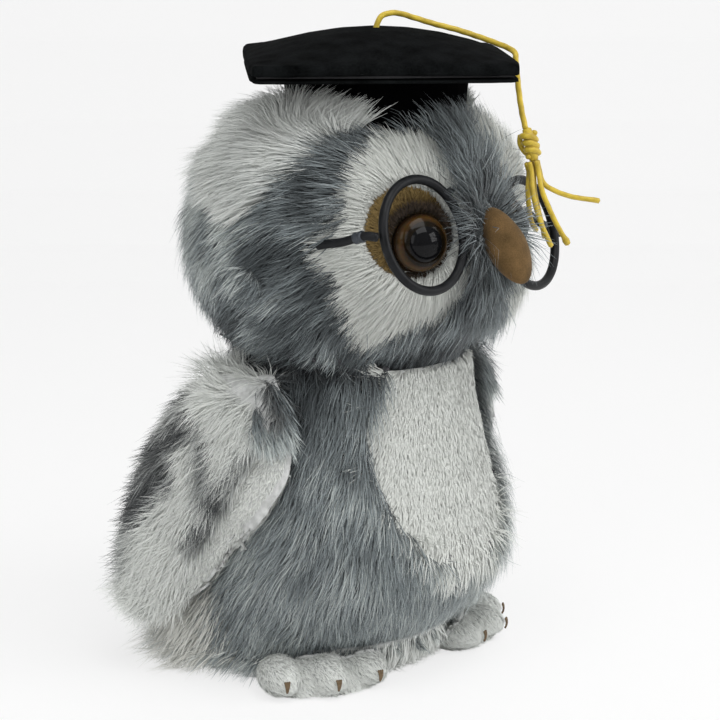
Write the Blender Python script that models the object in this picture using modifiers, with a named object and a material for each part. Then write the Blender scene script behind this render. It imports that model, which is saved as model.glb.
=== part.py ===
"""Plush owl with a square felt cap, a tassel and round wire spectacles.

Metres, +Z up. The origin is on the floor under the middle of the cap. The owl looks along -Y,
so its left side is +X. Each object is one sewn, moulded or bent piece of the real toy.
"""
import math

import bmesh
import bpy
from mathutils import Matrix, Vector

# Clearances
SEAM_GAP = 0.0003
CUT_OVERRUN = 0.012

# Body: a pear-shaped bag of long-pile fabric, measured over the pile
BODY_HALF_WIDTH = 0.052
BODY_HALF_DEPTH = 0.050
BODY_HEIGHT = 0.122
BODY_CENTRE_Y = 0.008
BODY_PROFILE_SHARES = (
    (0.0, 1.0), (0.40, 0.99), (0.66, 0.94), (0.80, 0.85), (0.85, 0.73), (0.92, 0.58),
    (0.985, 0.42), (0.99, 0.24), (0.945, 0.09), (0.855, 0.03), (0.73, 0.0), (0.0, 0.0),
)
# The rump: near the floor the body's middle moves back by this much, easing out with height
RUMP_SHIFT = 0.0200
RUMP_LOW_Z = 0.0050
RUMP_HIGH_Z = 0.0420
FUR_THICKNESS = 0.010
PLUSH_RECESS = 0.0045
STUFFING_GAP = 0.0004

# Belly panel, an oval let into the front of the body
BELLY_HALF_WIDTH = 0.0345
BELLY_X = 0.0035
BELLY_HALF_HEIGHT = 0.039
BELLY_DROP = 0.045
BELLY_CENTRE_Z = BODY_HEIGHT - BELLY_DROP

# Base panel and the pellet bag that weighs the base
BASE_SEAM_Z = 0.0105
PELLET_BAG_RADIUS = 0.032
PELLET_BAG_HEIGHT = 0.014

# Head: a ball of the same fabric, measured over the pile
HEAD_HALF_WIDTH = 0.059
HEAD_HALF_DEPTH = 0.0545
HEAD_HALF_HEIGHT = 0.050
HEAD_CENTRE_Y = 0.007
HEAD_RISE = 0.018
HEAD_CENTRE_Z = BODY_HEIGHT + HEAD_RISE
HEAD_FILLING_RISE = 0.0280
HEAD_FILLING_TOP_Z = HEAD_CENTRE_Z + HEAD_FILLING_RISE
FACE_RECESS = 0.0065
PATCH_REACH = 0.052

# Face panel outline, on the surface of the head
FACE_AZIMUTH = math.radians(36.0)
FACE_HALF_WIDTH = 0.028
FACE_HALF_HEIGHT = 0.044
FACE_OUTLINE_SHARES = (
    (0.74, 0.84), (0.25, 0.90), (-0.02, 0.82), (-0.22, 0.66), (-0.38, 0.45), (-0.50, 0.26),
    (-0.74, 0.06), (-0.56, -0.12), (-0.43, -0.34), (-0.31, -0.54), (-0.19, -0.70), (0.03, -0.57),
    (0.30, -0.48), (0.62, -0.42), (0.95, -0.24), (0.95, 0.07), (0.92, 0.34), (0.85, 0.62),
)

# Temple patch outline, white fur from under the cap down to the side of the head
TEMPLE_AZIMUTH = math.radians(84.0)
TEMPLE_ELEVATION = math.radians(36.0)
TEMPLE_HALF_WIDTH = 0.025
TEMPLE_HALF_HEIGHT = 0.022
TEMPLE_OUTLINE_SHARES = (
    (0.78, 0.92), (0.15, 1.0), (-0.80, 0.75), (-1.0, 0.10), (-0.70, -0.52), (-0.15, -0.88),
    (0.10, -0.80), (0.42, -0.28), (0.72, 0.20), (0.84, 0.60),
)

# Eye patch, safety eye and its locking washer
EYE_PATCH_AZIMUTH = math.radians(30.5)
EYE_PATCH_ELEVATION = math.radians(8.0)
EYE_PATCH_RADIUS = 0.0137
EYE_AZIMUTH = math.radians(27.0)
EYE_ELEVATION = math.radians(3.6)
EYE_TURN = math.radians(24.0)
EYE_LIFT = math.radians(3.0)
EYE_RADIUS = 0.009
EYE_DOME_HEIGHT = 0.0062
EYE_SEAT_DEPTH = 0.0016
EYE_FLANGE = 0.0008
EYE_STEM_RADIUS = 0.0020
EYE_STEM_LENGTH = 0.0070
WASHER_RADIUS = 0.0070
WASHER_THICKNESS = 0.0014
WASHER_SEAT = 0.0047

# Beak: a stuffed suede wedge that droops from the middle of the face
BEAK_HALF_LENGTH = 0.0130
BEAK_HALF_WIDTH = 0.0072
BEAK_HALF_THICKNESS = 0.0062
BEAK_STANDOFF = 0.0043
BEAK_CENTRE_Y = HEAD_CENTRE_Y - HEAD_HALF_DEPTH - BEAK_STANDOFF
BEAK_RISE = 0.0012
BEAK_CENTRE_Z = HEAD_CENTRE_Z + BEAK_RISE
BEAK_DROOP = math.radians(34.0)
BEAK_ROOT_SHARE = 0.55
BEAK_TIP_SHARE = 0.80

# Wings: leaf-shaped, sewn on along the shoulder, which is the hinge
WING_SHOULDER_DROP = 0.021
WING_SHOULDER_Z = BODY_HEIGHT - WING_SHOULDER_DROP
WING_STANDOFF = 0.0010
WING_LEAF_X = BODY_HALF_WIDTH + WING_STANDOFF
WING_LEAF_Y = 0.0215
WING_LEAF_Z = 0.0610
WING_THICKNESS = 0.019
WING_SPLAY = math.radians(9.5)
WING_REACH = 0.0520
WING_OUTLINE_SHARES = (
    (0.0, 0.57), (22.0, 0.55), (45.0, 0.58), (69.0, 0.68), (96.0, 0.84), (117.0, 0.90),
    (135.0, 0.79), (152.0, 0.68), (175.0, 0.52), (198.0, 0.41), (220.0, 0.36), (242.0, 0.38),
    (260.0, 0.48), (275.0, 0.62), (290.0, 0.80), (303.0, 0.97), (316.0, 0.92), (332.0, 0.70),
)
LINING_THICKNESS = 0.0026
WING_FUR_THICKNESS = 0.0050

# Tail flap
TAIL_HALF_WIDTH = 0.017
TAIL_HALF_LENGTH = 0.016
TAIL_HALF_THICKNESS = 0.0055
TAIL_SEAT = 0.0040
TAIL_CENTRE_Y = BODY_CENTRE_Y + BODY_HALF_DEPTH + RUMP_SHIFT - TAIL_SEAT
TAIL_CENTRE_Z = 0.0200
TAIL_DROOP = math.radians(48.0)

# Feet: a pad and three toes, flat underneath
FOOT_INSET = 0.0175
FOOT_X = BODY_HALF_WIDTH - FOOT_INSET
FOOT_LEAD = 0.0145
FOOT_Y = BODY_CENTRE_Y - FOOT_LEAD
FOOT_TURN = math.radians(27.0)
FOOT_HALF_WIDTH = 0.0175
FOOT_HALF_LENGTH = 0.0120
FOOT_HEIGHT = 0.0115
TOE_RADIUS = 0.0074
TOE_HALF_LENGTH = 0.0115
TOE_HEIGHT = 0.0064
TOE_FORWARD = 0.0049
TOE_SPREAD_SHARES = ((-1.0, -0.34), (0.0, 0.0), (1.0, -0.34))
TOE_SPACING = 0.0139
TOE_FAN = math.radians(8.0)
FLOOR_FLAT = 0.0005

# Cap: a velvet band and a padded felt square over a stiff card
BOARD_SIDE = 0.0820
BOARD_CORNER_RADIUS = 0.0045
BOARD_EDGE_HEIGHT = 0.0056
BOARD_CLEARANCE = 0.0005
BOARD_BASE_Z = HEAD_CENTRE_Z + HEAD_HALF_HEIGHT + BOARD_CLEARANCE
BOARD_CROWN = 0.0085
FELT_THICKNESS = 0.0014
CARD_THICKNESS = 0.0012
BAND_RADIUS = 0.0290
BAND_THICKNESS = 0.0022
BAND_HEIGHT = 0.0180
BAND_BOTTOM_Z = BOARD_BASE_Z - BAND_HEIGHT
BAND_FLARE = 0.0015

# Cord and tassel
CORD_RADIUS = 0.00095
CORD_HOLE_RADIUS = 0.0014
ANCHOR_KNOT_RADIUS = 0.0026
KNOT_RADIUS = 0.0030
KNOT_HALF_HEIGHT = 0.0050
STRAND_RADIUS = 0.00085

# Spectacles
RIM_RADIUS = 0.0168
WIRE_RADIUS = 0.00145
RIM_SPACING = 0.0266
SPECTACLES_X = -0.0007
SPECTACLES_SEAT = 0.0063
SPECTACLES_Y = HEAD_CENTRE_Y - HEAD_HALF_DEPTH + SPECTACLES_SEAT
SPECTACLES_RISE = 0.0038
SPECTACLES_Z = HEAD_CENTRE_Z + SPECTACLES_RISE
SPECTACLES_TURN = math.radians(1.6)
SPECTACLES_ROLL = math.radians(6.2)
SPECTACLES_TILT = math.radians(15.5)
RIM_WRAP = math.radians(6.3)
BRIDGE_ANGLE = math.radians(42.0)
BRIDGE_RISE = 0.0030
BRIDGE_FORWARD = 0.0018
BRIDGE_RADIUS = 0.0012
ARM_RADIUS = 0.00135
ARM_BEND_INSET = 0.0105
ARM_BEND = Vector((HEAD_HALF_WIDTH - ARM_BEND_INSET, -0.0190, HEAD_CENTRE_Z + 0.0037))
ARM_TUCK_INSET = 0.0055
ARM_TUCK = Vector((HEAD_HALF_WIDTH - ARM_TUCK_INSET, 0.0000, HEAD_CENTRE_Z - 0.0022))
SLEEVE_RADIUS = 0.0018
SLEEVE_LENGTH = 0.0030
GROOVE_GAP = 0.0005

# Mesh finesse
ROUND_STEPS = 32
INNER_STEPS = 18
TUBE_RESOLUTION = 2


def clear_scene():
    for scene_object in list(bpy.data.objects):
        bpy.data.objects.remove(scene_object, do_unlink=True)


def new_collection(name):
    collection = bpy.data.collections.new(name)
    bpy.context.scene.collection.children.link(collection)
    return collection


clear_scene()
OWL = new_collection("plush_owl")
CUTTERS = new_collection("cutters")


def material(name, colour, roughness, metallic=0.0):
    """A plain Principled BSDF of the piece's own colour."""
    made = bpy.data.materials.get(name) or bpy.data.materials.new(name)
    made.use_nodes = True
    shader = made.node_tree.nodes["Principled BSDF"]
    shader.inputs["Base Color"].default_value = (*colour, 1.0)
    shader.inputs["Roughness"].default_value = roughness
    shader.inputs["Metallic"].default_value = metallic
    return made


GREY_FUR = material("frosted_grey_fur", (0.36, 0.37, 0.39), 0.95)
WHITE_PLUSH = material("white_plush", (0.86, 0.86, 0.83), 0.95)
TAN_PLUSH = material("tan_plush", (0.52, 0.33, 0.12), 0.95)
SUEDE = material("tan_suede", (0.50, 0.27, 0.12), 0.85)
FILLING = material("polyester_filling", (0.90, 0.90, 0.88), 1.0)
PELLETS = material("pellet_bag_cloth", (0.75, 0.73, 0.68), 0.9)
BLACK_FELT = material("black_felt", (0.015, 0.017, 0.017), 0.95)
BLACK_VELVET = material("black_velvet", (0.006, 0.006, 0.007), 0.9)
CARD = material("grey_card", (0.35, 0.33, 0.30), 0.9)
YELLOW_CORD = material("yellow_cord", (0.62, 0.46, 0.03), 0.6)
BLACK_WIRE = material("black_coated_wire", (0.012, 0.013, 0.015), 0.4)
GREY_SLEEVE = material("grey_crimp_sleeve", (0.10, 0.11, 0.12), 0.35)
EYE_PLASTIC = material("amber_and_black_eye", (0.10, 0.045, 0.01), 0.05)
WASHER_PLASTIC = material("white_washer_plastic", (0.85, 0.85, 0.85), 0.4)


def place(name, mesh, finish=None, collection=None):
    """Put a mesh in the scene as one object, as a part or as a hidden cutter."""
    made = bpy.data.objects.new(name, mesh)
    (collection or OWL).objects.link(made)
    if finish is None:
        made.hide_render = True
        made.display_type = "WIRE"
    else:
        mesh.materials.clear()
        mesh.materials.append(finish)
        mesh.shade_smooth()
    return made


def cutter(name, mesh):
    return place(name, mesh, None, CUTTERS)


def mesh_from(bm, name):
    bmesh.ops.recalc_face_normals(bm, faces=bm.faces)
    mesh = bpy.data.meshes.new(name)
    bm.to_mesh(mesh)
    bm.free()
    return mesh


def boolean(piece, other, operation="DIFFERENCE"):
    step = piece.modifiers.new(other.name[:40], "BOOLEAN")
    step.operation = operation
    step.object = other
    step.solver = "EXACT"
    return piece


def smooth_line(points, pieces):
    """Points along a smooth curve through the given points."""
    points = [Vector(point) for point in points]
    ends = [2 * points[0] - points[1]] + points + [2 * points[-1] - points[-2]]
    line = []
    for before, start, end, after in zip(ends, ends[1:], ends[2:], ends[3:]):
        for step in range(pieces):
            t = step / pieces
            line.append(0.5 * (2 * start + (end - before) * t
                               + (2 * before - 5 * start + 4 * end - after) * t ** 2
                               + (3 * start - before - 3 * end + after) * t ** 3))
    line.append(points[-1])
    return line


def smooth_ring(values, angle):
    """A closed curve's value at an angle in degrees, eased between the listed (angle, value) pairs."""
    pairs = list(values)
    pairs = [(pairs[-1][0] - 360.0, pairs[-1][1])] + pairs + [(pairs[0][0] + 360.0, pairs[0][1])]
    angle %= 360.0
    for (low, first), (high, second) in zip(pairs, pairs[1:]):
        if low <= angle <= high:
            t = (angle - low) / (high - low)
            return first + (second - first) * t * t * (3.0 - 2.0 * t)
    return pairs[0][1]


def evaluated_mesh(made):
    """The mesh of a temporary object after its modifiers; the object is removed."""
    bpy.context.view_layer.update()
    graph = bpy.context.evaluated_depsgraph_get()
    mesh = bpy.data.meshes.new_from_object(made.evaluated_get(graph))
    mesh.transform(made.matrix_world)
    bpy.data.objects.remove(made, do_unlink=True)
    return mesh


def remade(mesh):
    """The same mesh with doubled points joined and its faces pointing out."""
    bm = bmesh.new()
    bm.from_mesh(mesh)
    bmesh.ops.remove_doubles(bm, verts=bm.verts, dist=0.00001)
    return mesh_from(bm, mesh.name)


def turned(profile, steps):
    """A profile of (radius, height) points, top to bottom, turned about the Z axis."""
    mesh = bpy.data.meshes.new("profile")
    mesh.from_pydata([(r, 0.0, z) for r, z in profile],
                     [(k, k + 1) for k in range(len(profile) - 1)], [])
    made = bpy.data.objects.new("profile", mesh)
    CUTTERS.objects.link(made)
    screw = made.modifiers.new("turn", "SCREW")
    screw.steps = screw.render_steps = steps
    screw.use_merge_vertices = True
    screw.merge_threshold = 0.00001
    screw.use_normal_calculate = True
    return remade(evaluated_mesh(made))


def ball(half_sizes, centre, segments, rings, name="ball"):
    """An ellipsoid from a UV sphere."""
    bm = bmesh.new()
    bmesh.ops.create_uvsphere(bm, u_segments=segments, v_segments=rings, radius=1.0)
    bmesh.ops.scale(bm, vec=half_sizes, verts=bm.verts)
    bmesh.ops.translate(bm, vec=centre, verts=bm.verts)
    return mesh_from(bm, name)


def box(low, high, name="box"):
    low, high = Vector(low), Vector(high)
    bm = bmesh.new()
    bmesh.ops.create_cube(bm, size=1.0)
    bmesh.ops.scale(bm, vec=high - low, verts=bm.verts)
    bmesh.ops.translate(bm, vec=(low + high) / 2, verts=bm.verts)
    return mesh_from(bm, name)


def rod(start, end, radius, segments, name="rod", end_radius=None):
    """A round rod, or a cone, between two points."""
    start, end = Vector(start), Vector(end)
    along = end - start
    bm = bmesh.new()
    bmesh.ops.create_cone(bm, cap_ends=True, segments=segments, radius1=radius,
                          radius2=radius if end_radius is None else end_radius,
                          depth=along.length)
    turn = along.to_track_quat("Z", "Y").to_matrix().to_4x4()
    bmesh.ops.transform(bm, matrix=Matrix.Translation((start + end) / 2) @ turn, verts=bm.verts)
    return mesh_from(bm, name)


def tube(points, radius, resolution=TUBE_RESOLUTION, cyclic=False):
    """A round tube along the points, with closed ends, as a mesh."""
    curve = bpy.data.curves.new("tube", "CURVE")
    curve.dimensions = "3D"
    curve.bevel_depth = radius
    curve.bevel_resolution = resolution
    curve.use_fill_caps = not cyclic
    spline = curve.splines.new("POLY")
    spline.points.add(len(points) - 1)
    for spot, point in zip(spline.points, points):
        spot.co = (*point, 1.0)
    spline.use_cyclic_u = cyclic
    made = bpy.data.objects.new("tube", curve)
    CUTTERS.objects.link(made)
    return remade(evaluated_mesh(made))


def body_profile(inset, fine):
    """The body's profile, moved in by the inset, as (radius, height) points from top to bottom."""
    outline = [(BODY_HALF_WIDTH * r, 0.0, BODY_HEIGHT * z) for r, z in BODY_PROFILE_SHARES]
    line = smooth_line(outline, fine)
    moved = []
    for k, spot in enumerate(line):
        along = line[min(k + 1, len(line) - 1)] - line[max(k - 1, 0)]
        outward = Vector((-along.z, 0.0, along.x)).normalized()
        moved.append((max(spot.x - inset * outward.x, 0.0),
                      min(max(spot.z - inset * outward.z, inset), BODY_HEIGHT - inset)))
    moved[0] = (0.0, moved[0][1])
    moved[-1] = (0.0, moved[-1][1])
    kept = [moved[0]]
    for spot in moved[1:]:
        if math.dist(spot, kept[-1]) > WIRE_RADIUS / 2 and (spot[0] > 0.0 or spot is moved[-1]):
            kept.append(spot)
    return kept


def body_form(inset, steps=ROUND_STEPS, fine=2):
    """The body's outer form, moved in by the inset; a negative inset makes it larger."""
    mesh = turned(body_profile(inset, fine), steps)
    depth_scale = (BODY_HALF_DEPTH - inset) / (BODY_HALF_WIDTH - inset)
    mesh.transform(Matrix.Translation((0.0, BODY_CENTRE_Y, 0.0)) @ Matrix.Diagonal((1.0, depth_scale, 1.0, 1.0)))
    for vert in mesh.vertices:
        high = min(max((vert.co.z - RUMP_LOW_Z) / (RUMP_HIGH_Z - RUMP_LOW_Z), 0.0), 1.0)
        vert.co.y += RUMP_SHIFT * (1.0 - high * high * (3.0 - 2.0 * high))
    return mesh


def head_centre():
    return Vector((0.0, HEAD_CENTRE_Y, HEAD_CENTRE_Z))


def head_form(inset, segments=ROUND_STEPS, rings=16, top=BOARD_BASE_Z):
    """The head's outer form, moved in by the inset and pressed flat at the top height."""
    half_sizes = (HEAD_HALF_WIDTH - inset, HEAD_HALF_DEPTH - inset, HEAD_HALF_HEIGHT - inset)
    mesh = ball(half_sizes, head_centre(), segments, rings, "head_form")
    for vert in mesh.vertices:
        vert.co.z = min(vert.co.z, top)
    return mesh


def band_ring():
    """The cap band's wall with a seam gap round it."""
    top = BOARD_BASE_Z + SEAM_GAP
    low = BAND_BOTTOM_Z - SEAM_GAP
    inner = BAND_RADIUS - BAND_THICKNESS - BAND_FLARE / 2 - SEAM_GAP
    outer = BAND_RADIUS + SEAM_GAP
    return turned([(inner, top), (outer, top), (outer, low), (inner, low), (inner, top)], 32)


def facing(azimuth, elevation):
    """A direction; azimuth 0 is straight ahead, and a positive one is to the owl's left."""
    return Vector((math.sin(azimuth) * math.cos(elevation), -math.cos(azimuth) * math.cos(elevation),
                   math.sin(elevation)))


def head_surface(direction, inset):
    """The point of the head's form, moved in by the inset, that lies in a direction."""
    half_sizes = (HEAD_HALF_WIDTH - inset, HEAD_HALF_DEPTH - inset, HEAD_HALF_HEIGHT - inset)
    scale = 1.0 / math.sqrt(sum((direction[k] / half_sizes[k]) ** 2 for k in range(3)))
    return head_centre() + direction * scale


def patch_cone(name, side, azimuth, elevation, outline, grow):
    """A cone from the middle of the head whose rim follows a patch's outline, grown by a seam gap.

    The outline is in lengths across and up, on the surface, for the owl's right side.
    """
    middle = facing(-azimuth, elevation)
    across = facing(-azimuth + math.pi / 2, 0.0)
    up = across.cross(middle) * -1.0
    bm = bmesh.new()
    reach = 2.0 * HEAD_HALF_WIDTH
    bmesh.ops.create_cone(bm, cap_ends=True, segments=len(outline), radius1=reach, radius2=0.0, depth=reach)
    rim = [vert for vert in bm.verts if len(vert.link_edges) == 3]
    tip = [vert for vert in bm.verts if len(vert.link_edges) != 3]
    rim.sort(key=lambda vert: math.atan2(vert.co.y, vert.co.x))
    for vert, (right, high) in zip(rim, outline):
        length = math.hypot(right, high)
        angle = (length + grow) / PATCH_REACH
        aside = (across * right + up * high) / length
        direction = middle * math.cos(angle) + aside * math.sin(angle)
        if side > 0:
            direction.x = -direction.x
        vert.co = head_centre() + direction * reach
    for vert in tip:
        vert.co = head_centre()
    bmesh.ops.triangulate(bm, faces=bm.faces)
    return cutter(name, mesh_from(bm, name))


def outline_lengths(shares, half_width, half_height, fine=1):
    spots = [(half_width * across, half_height * up, 0.0) for across, up in shares]
    if fine == 1:
        return [(spot[0], spot[1]) for spot in spots]
    line = smooth_line(spots + spots[:1], fine)[:-1]
    return [(spot.x, spot.y) for spot in line]


def circle_lengths(radius, steps):
    turns = [math.tau * k / steps for k in range(steps)]
    return [(radius * math.cos(t), radius * math.sin(t)) for t in turns]


def body_pieces():
    """The grey body skin with its belly and base panels, the filling and the pellet bag."""
    reach = 2 * BODY_HALF_WIDTH
    head_cut = cutter("head_clearance", head_form(-SEAM_GAP, 32, 16))
    cavity = cutter("body_cavity", body_form(FUR_THICKNESS, INNER_STEPS, 1))
    below = cutter("below_base_seam", box((-reach, -reach, -reach), (reach, reach, BASE_SEAM_Z + SEAM_GAP)))
    above = cutter("above_base_seam", box((-reach, -reach, BASE_SEAM_Z), (reach, reach, 2 * reach)))
    belly_window = cutter("belly_window", belly_prism(SEAM_GAP))
    belly_inside = cutter("belly_inside", belly_prism(0.0))

    skin = place("body_skin", body_form(0.0), GREY_FUR)
    for other in (cavity, below, belly_window, head_cut):
        boolean(skin, other)
    belly = place("belly_panel", body_form(PLUSH_RECESS), WHITE_PLUSH)
    boolean(belly, belly_inside, "INTERSECT")
    for other in (cavity, head_cut):
        boolean(belly, other)
    base = place("base_panel", body_form(0.0), WHITE_PLUSH)
    boolean(base, above)

    bag_sizes = Vector((PELLET_BAG_RADIUS, PELLET_BAG_RADIUS, PELLET_BAG_HEIGHT / 2))
    bag_centre = Vector((0.0, BODY_CENTRE_Y + RUMP_SHIFT * 0.8, BASE_SEAM_Z + 2 * SEAM_GAP + PELLET_BAG_HEIGHT / 2))
    place("pellet_bag", ball(bag_sizes, bag_centre, INNER_STEPS, 10), PELLETS)
    bag_room = Vector((SEAM_GAP, SEAM_GAP, SEAM_GAP)) + bag_sizes
    bag_cut = cutter("pellet_bag_room", ball(bag_room, bag_centre, INNER_STEPS, 10))
    filling = place("body_stuffing", body_form(FUR_THICKNESS + STUFFING_GAP, INNER_STEPS, 1), FILLING)
    for other in (below, head_cut, bag_cut):
        boolean(filling, other)


def belly_prism(grow):
    """The belly's oval, drawn through the front of the body."""
    bm = bmesh.new()
    depth = BODY_HALF_DEPTH + CUT_OVERRUN + 2 * grow
    bmesh.ops.create_cone(bm, cap_ends=True, segments=ROUND_STEPS, radius1=1.0, radius2=1.0, depth=depth)
    sizes = Matrix.Diagonal((BELLY_HALF_WIDTH + grow, BELLY_HALF_HEIGHT + grow, 1.0, 1.0))
    turn = Matrix.Rotation(math.pi / 2, 4, "X")
    shift = Matrix.Translation((BELLY_X, BODY_CENTRE_Y + grow - depth / 2, BELLY_CENTRE_Z))
    bmesh.ops.transform(bm, matrix=shift @ turn @ sizes, verts=bm.verts)
    return mesh_from(bm, "belly_prism")


def base_clearance():
    """The body with a seam gap round it, which cuts the pieces that lie against it."""
    return cutter("body_clearance", body_form(-SEAM_GAP))


def beak_form(grow):
    """A rounded wedge, narrow at its root, along Z with its tip down, before it is tilted."""
    bm = bmesh.new()
    bmesh.ops.create_uvsphere(bm, u_segments=16, v_segments=12, radius=1.0)
    for vert in bm.verts:
        high = vert.co.z
        root = max(high, 0.0)
        width = 1.0 - (1.0 - BEAK_ROOT_SHARE) * root
        thickness = 1.0 - (1.0 - BEAK_TIP_SHARE) * max(-high, 0.0)
        vert.co = Vector((vert.co.x * width * (BEAK_HALF_WIDTH + grow),
                          vert.co.y * thickness * (BEAK_HALF_THICKNESS + grow),
                          high * (BEAK_HALF_LENGTH + grow)))
    turn = Matrix.Rotation(-BEAK_DROOP, 4, "X")
    shift = Matrix.Translation((0.0, BEAK_CENTRE_Y, BEAK_CENTRE_Z))
    bmesh.ops.transform(bm, matrix=shift @ turn, verts=bm.verts)
    return mesh_from(bm, "beak_form")


def eye_place(side):
    """The middle of the eye on the face's surface, and the way the eye looks."""
    direction = facing(side * EYE_AZIMUTH, EYE_ELEVATION)
    return head_surface(direction, FACE_RECESS), facing(side * EYE_TURN, EYE_LIFT)


def eye_mesh(side):
    """A domed moulding with a flange and a stem, looking along the eye's axis."""
    steps = 6
    turns = [math.pi / 2 * k / steps for k in range(steps + 1)]
    profile = [(EYE_RADIUS * math.sin(t), EYE_FLANGE + EYE_DOME_HEIGHT * math.cos(t)) for t in turns]
    profile[0] = (0.0, profile[0][1])
    profile += [(EYE_RADIUS, 0.0), (EYE_STEM_RADIUS, 0.0), (EYE_STEM_RADIUS, -EYE_STEM_LENGTH),
                (0.0, -EYE_STEM_LENGTH)]
    mesh = turned(profile, 22)
    spot, look = eye_place(side)
    seat = spot - look * (EYE_SEAT_DEPTH - SEAM_GAP)
    mesh.transform(Matrix.Translation(seat) @ look.to_track_quat("Z", "Y").to_matrix().to_4x4())
    return mesh


def head_pieces(spectacles_cutters):
    """The grey head skin, the white and tan panels let into it, the eyes, the beak and the filling."""
    cavity = cutter("head_cavity", head_form(FUR_THICKNESS, INNER_STEPS, 12, HEAD_FILLING_TOP_Z + STUFFING_GAP))
    reach = 2 * HEAD_HALF_HEIGHT
    band_cut = cutter("band_clearance", rod((0.0, 0.0, BAND_BOTTOM_Z - WASHER_SEAT),
                                            (0.0, 0.0, BAND_BOTTOM_Z + reach), BAND_RADIUS + SEAM_GAP, 32))
    beak_cut = cutter("beak_clearance", beak_form(SEAM_GAP))
    crown = BOARD_BASE_Z - 2 * SEAM_GAP - 2 * ANCHOR_KNOT_RADIUS
    skin = place("head_skin", head_form(0.0, top=crown), GREY_FUR)
    boolean(skin, cavity)
    filling = place("head_stuffing", head_form(FUR_THICKNESS + STUFFING_GAP, INNER_STEPS, 12, HEAD_FILLING_TOP_Z),
                    FILLING)
    face_shape = outline_lengths(FACE_OUTLINE_SHARES, FACE_HALF_WIDTH, FACE_HALF_HEIGHT)
    temple_shape = outline_lengths(TEMPLE_OUTLINE_SHARES, TEMPLE_HALF_WIDTH, TEMPLE_HALF_HEIGHT)
    patch_shape = circle_lengths(EYE_PATCH_RADIUS, 20)
    for side, hand in ((-1, "right"), (1, "left")):
        face_cut = patch_cone("face_window_" + hand, side, FACE_AZIMUTH, 0.0, face_shape, SEAM_GAP)
        face_in = patch_cone("face_inside_" + hand, side, FACE_AZIMUTH, 0.0, face_shape, 0.0)
        temple_cut = patch_cone("temple_window_" + hand, side, TEMPLE_AZIMUTH, TEMPLE_ELEVATION,
                                temple_shape, SEAM_GAP)
        temple_in = patch_cone("temple_inside_" + hand, side, TEMPLE_AZIMUTH, TEMPLE_ELEVATION,
                               temple_shape, 0.0)
        patch_cut = patch_cone("eye_patch_window_" + hand, side, EYE_PATCH_AZIMUTH, EYE_PATCH_ELEVATION,
                               patch_shape, SEAM_GAP)
        patch_in = patch_cone("eye_patch_inside_" + hand, side, EYE_PATCH_AZIMUTH, EYE_PATCH_ELEVATION,
                              patch_shape, 0.0)
        face = place("face_panel_" + hand, head_form(FACE_RECESS), WHITE_PLUSH)
        boolean(face, face_in, "INTERSECT")
        boolean(face, cavity)
        boolean(face, patch_cut)
        boolean(face, band_cut)
        boolean(face, spectacles_cutters[-1])
        temple = place("temple_patch_" + hand, head_form(0.0), WHITE_PLUSH)
        boolean(temple, temple_in, "INTERSECT")
        for other in (cavity, face_cut, band_cut):
            boolean(temple, other)
        boolean(skin, face_cut)
        boolean(skin, temple_cut)
        patch = place("eye_patch_" + hand, head_form(FACE_RECESS), TAN_PLUSH)
        boolean(patch, patch_in, "INTERSECT")
        boolean(patch, cavity)
        eye_pieces(side, hand, patch, face, filling)
    ring_cut = cutter("band_ring_clearance", band_ring())
    for other in (ring_cut, beak_cut, *spectacles_cutters):
        boolean(skin, other)
    place("beak", beak_form(0.0), SUEDE)


def eye_pieces(side, hand, patch, face, filling):
    """One safety eye, its locking washer, and the seat, hole and hollow that they need."""
    spot, look = eye_place(side)
    seat = spot - look * EYE_SEAT_DEPTH
    end = seat - look * (EYE_STEM_LENGTH + 2 * SEAM_GAP)
    seat_cut = cutter("eye_seat_" + hand, rod(seat, spot + look * CUT_OVERRUN, EYE_RADIUS + SEAM_GAP, 24))
    hole_cut = cutter("eye_hole_" + hand, rod(end, spot, EYE_STEM_RADIUS + SEAM_GAP, 12))
    for other in (seat_cut, hole_cut):
        boolean(patch, other)
        boolean(face, other)
    washer_top = spot - look * WASHER_SEAT
    washer = place("eye_washer_" + hand, rod(washer_top - look * WASHER_THICKNESS, washer_top, WASHER_RADIUS, 20),
                   WASHER_PLASTIC)
    boolean(washer, hole_cut)
    pressed = cutter("washer_seat_" + hand, rod(end - look * WASHER_RADIUS, washer_top + look * SEAM_GAP,
                                                WASHER_RADIUS + SEAM_GAP, 20))
    boolean(patch, pressed)
    boolean(face, pressed)
    boolean(filling, cutter("washer_room_" + hand, rod(end, spot, WASHER_RADIUS + SEAM_GAP, 20)))
    place("eye_" + hand, eye_mesh(side), EYE_PLASTIC)


def wing_form(side, inset):
    """A leaf-shaped pillow from a ball whose sides follow the wing's outline."""
    bm = bmesh.new()
    bmesh.ops.create_uvsphere(bm, u_segments=26, v_segments=10, radius=1.0)
    splay = Matrix.Rotation(WING_SPLAY * side * -1.0, 4, "Y")
    shift = Matrix.Translation((side * WING_LEAF_X, WING_LEAF_Y, WING_LEAF_Z))
    for vert in bm.verts:
        flat = math.hypot(vert.co.x, vert.co.y)
        angle = math.degrees(math.atan2(vert.co.y, vert.co.x))
        reach = WING_REACH * smooth_ring(WING_OUTLINE_SHARES, angle) - inset
        back = reach * flat * math.cos(math.radians(angle))
        up = reach * flat * math.sin(math.radians(angle))
        vert.co = Vector((vert.co.z * (WING_THICKNESS / 2 - inset), back, up))
    bmesh.ops.transform(bm, matrix=shift @ splay, verts=bm.verts)
    return mesh_from(bm, "wing_form")


def shoulder_x():
    """Where the body's side stands at the shoulder seam, which is the wing's hinge line."""
    height = WING_SHOULDER_Z / BODY_HEIGHT
    for (upper, high), (lower, low) in zip(BODY_PROFILE_SHARES, BODY_PROFILE_SHARES[1:]):
        if low <= height <= high:
            share = lower + (upper - lower) * (height - low) / (high - low)
            return BODY_HALF_WIDTH * share + SEAM_GAP
    return BODY_HALF_WIDTH


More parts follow.
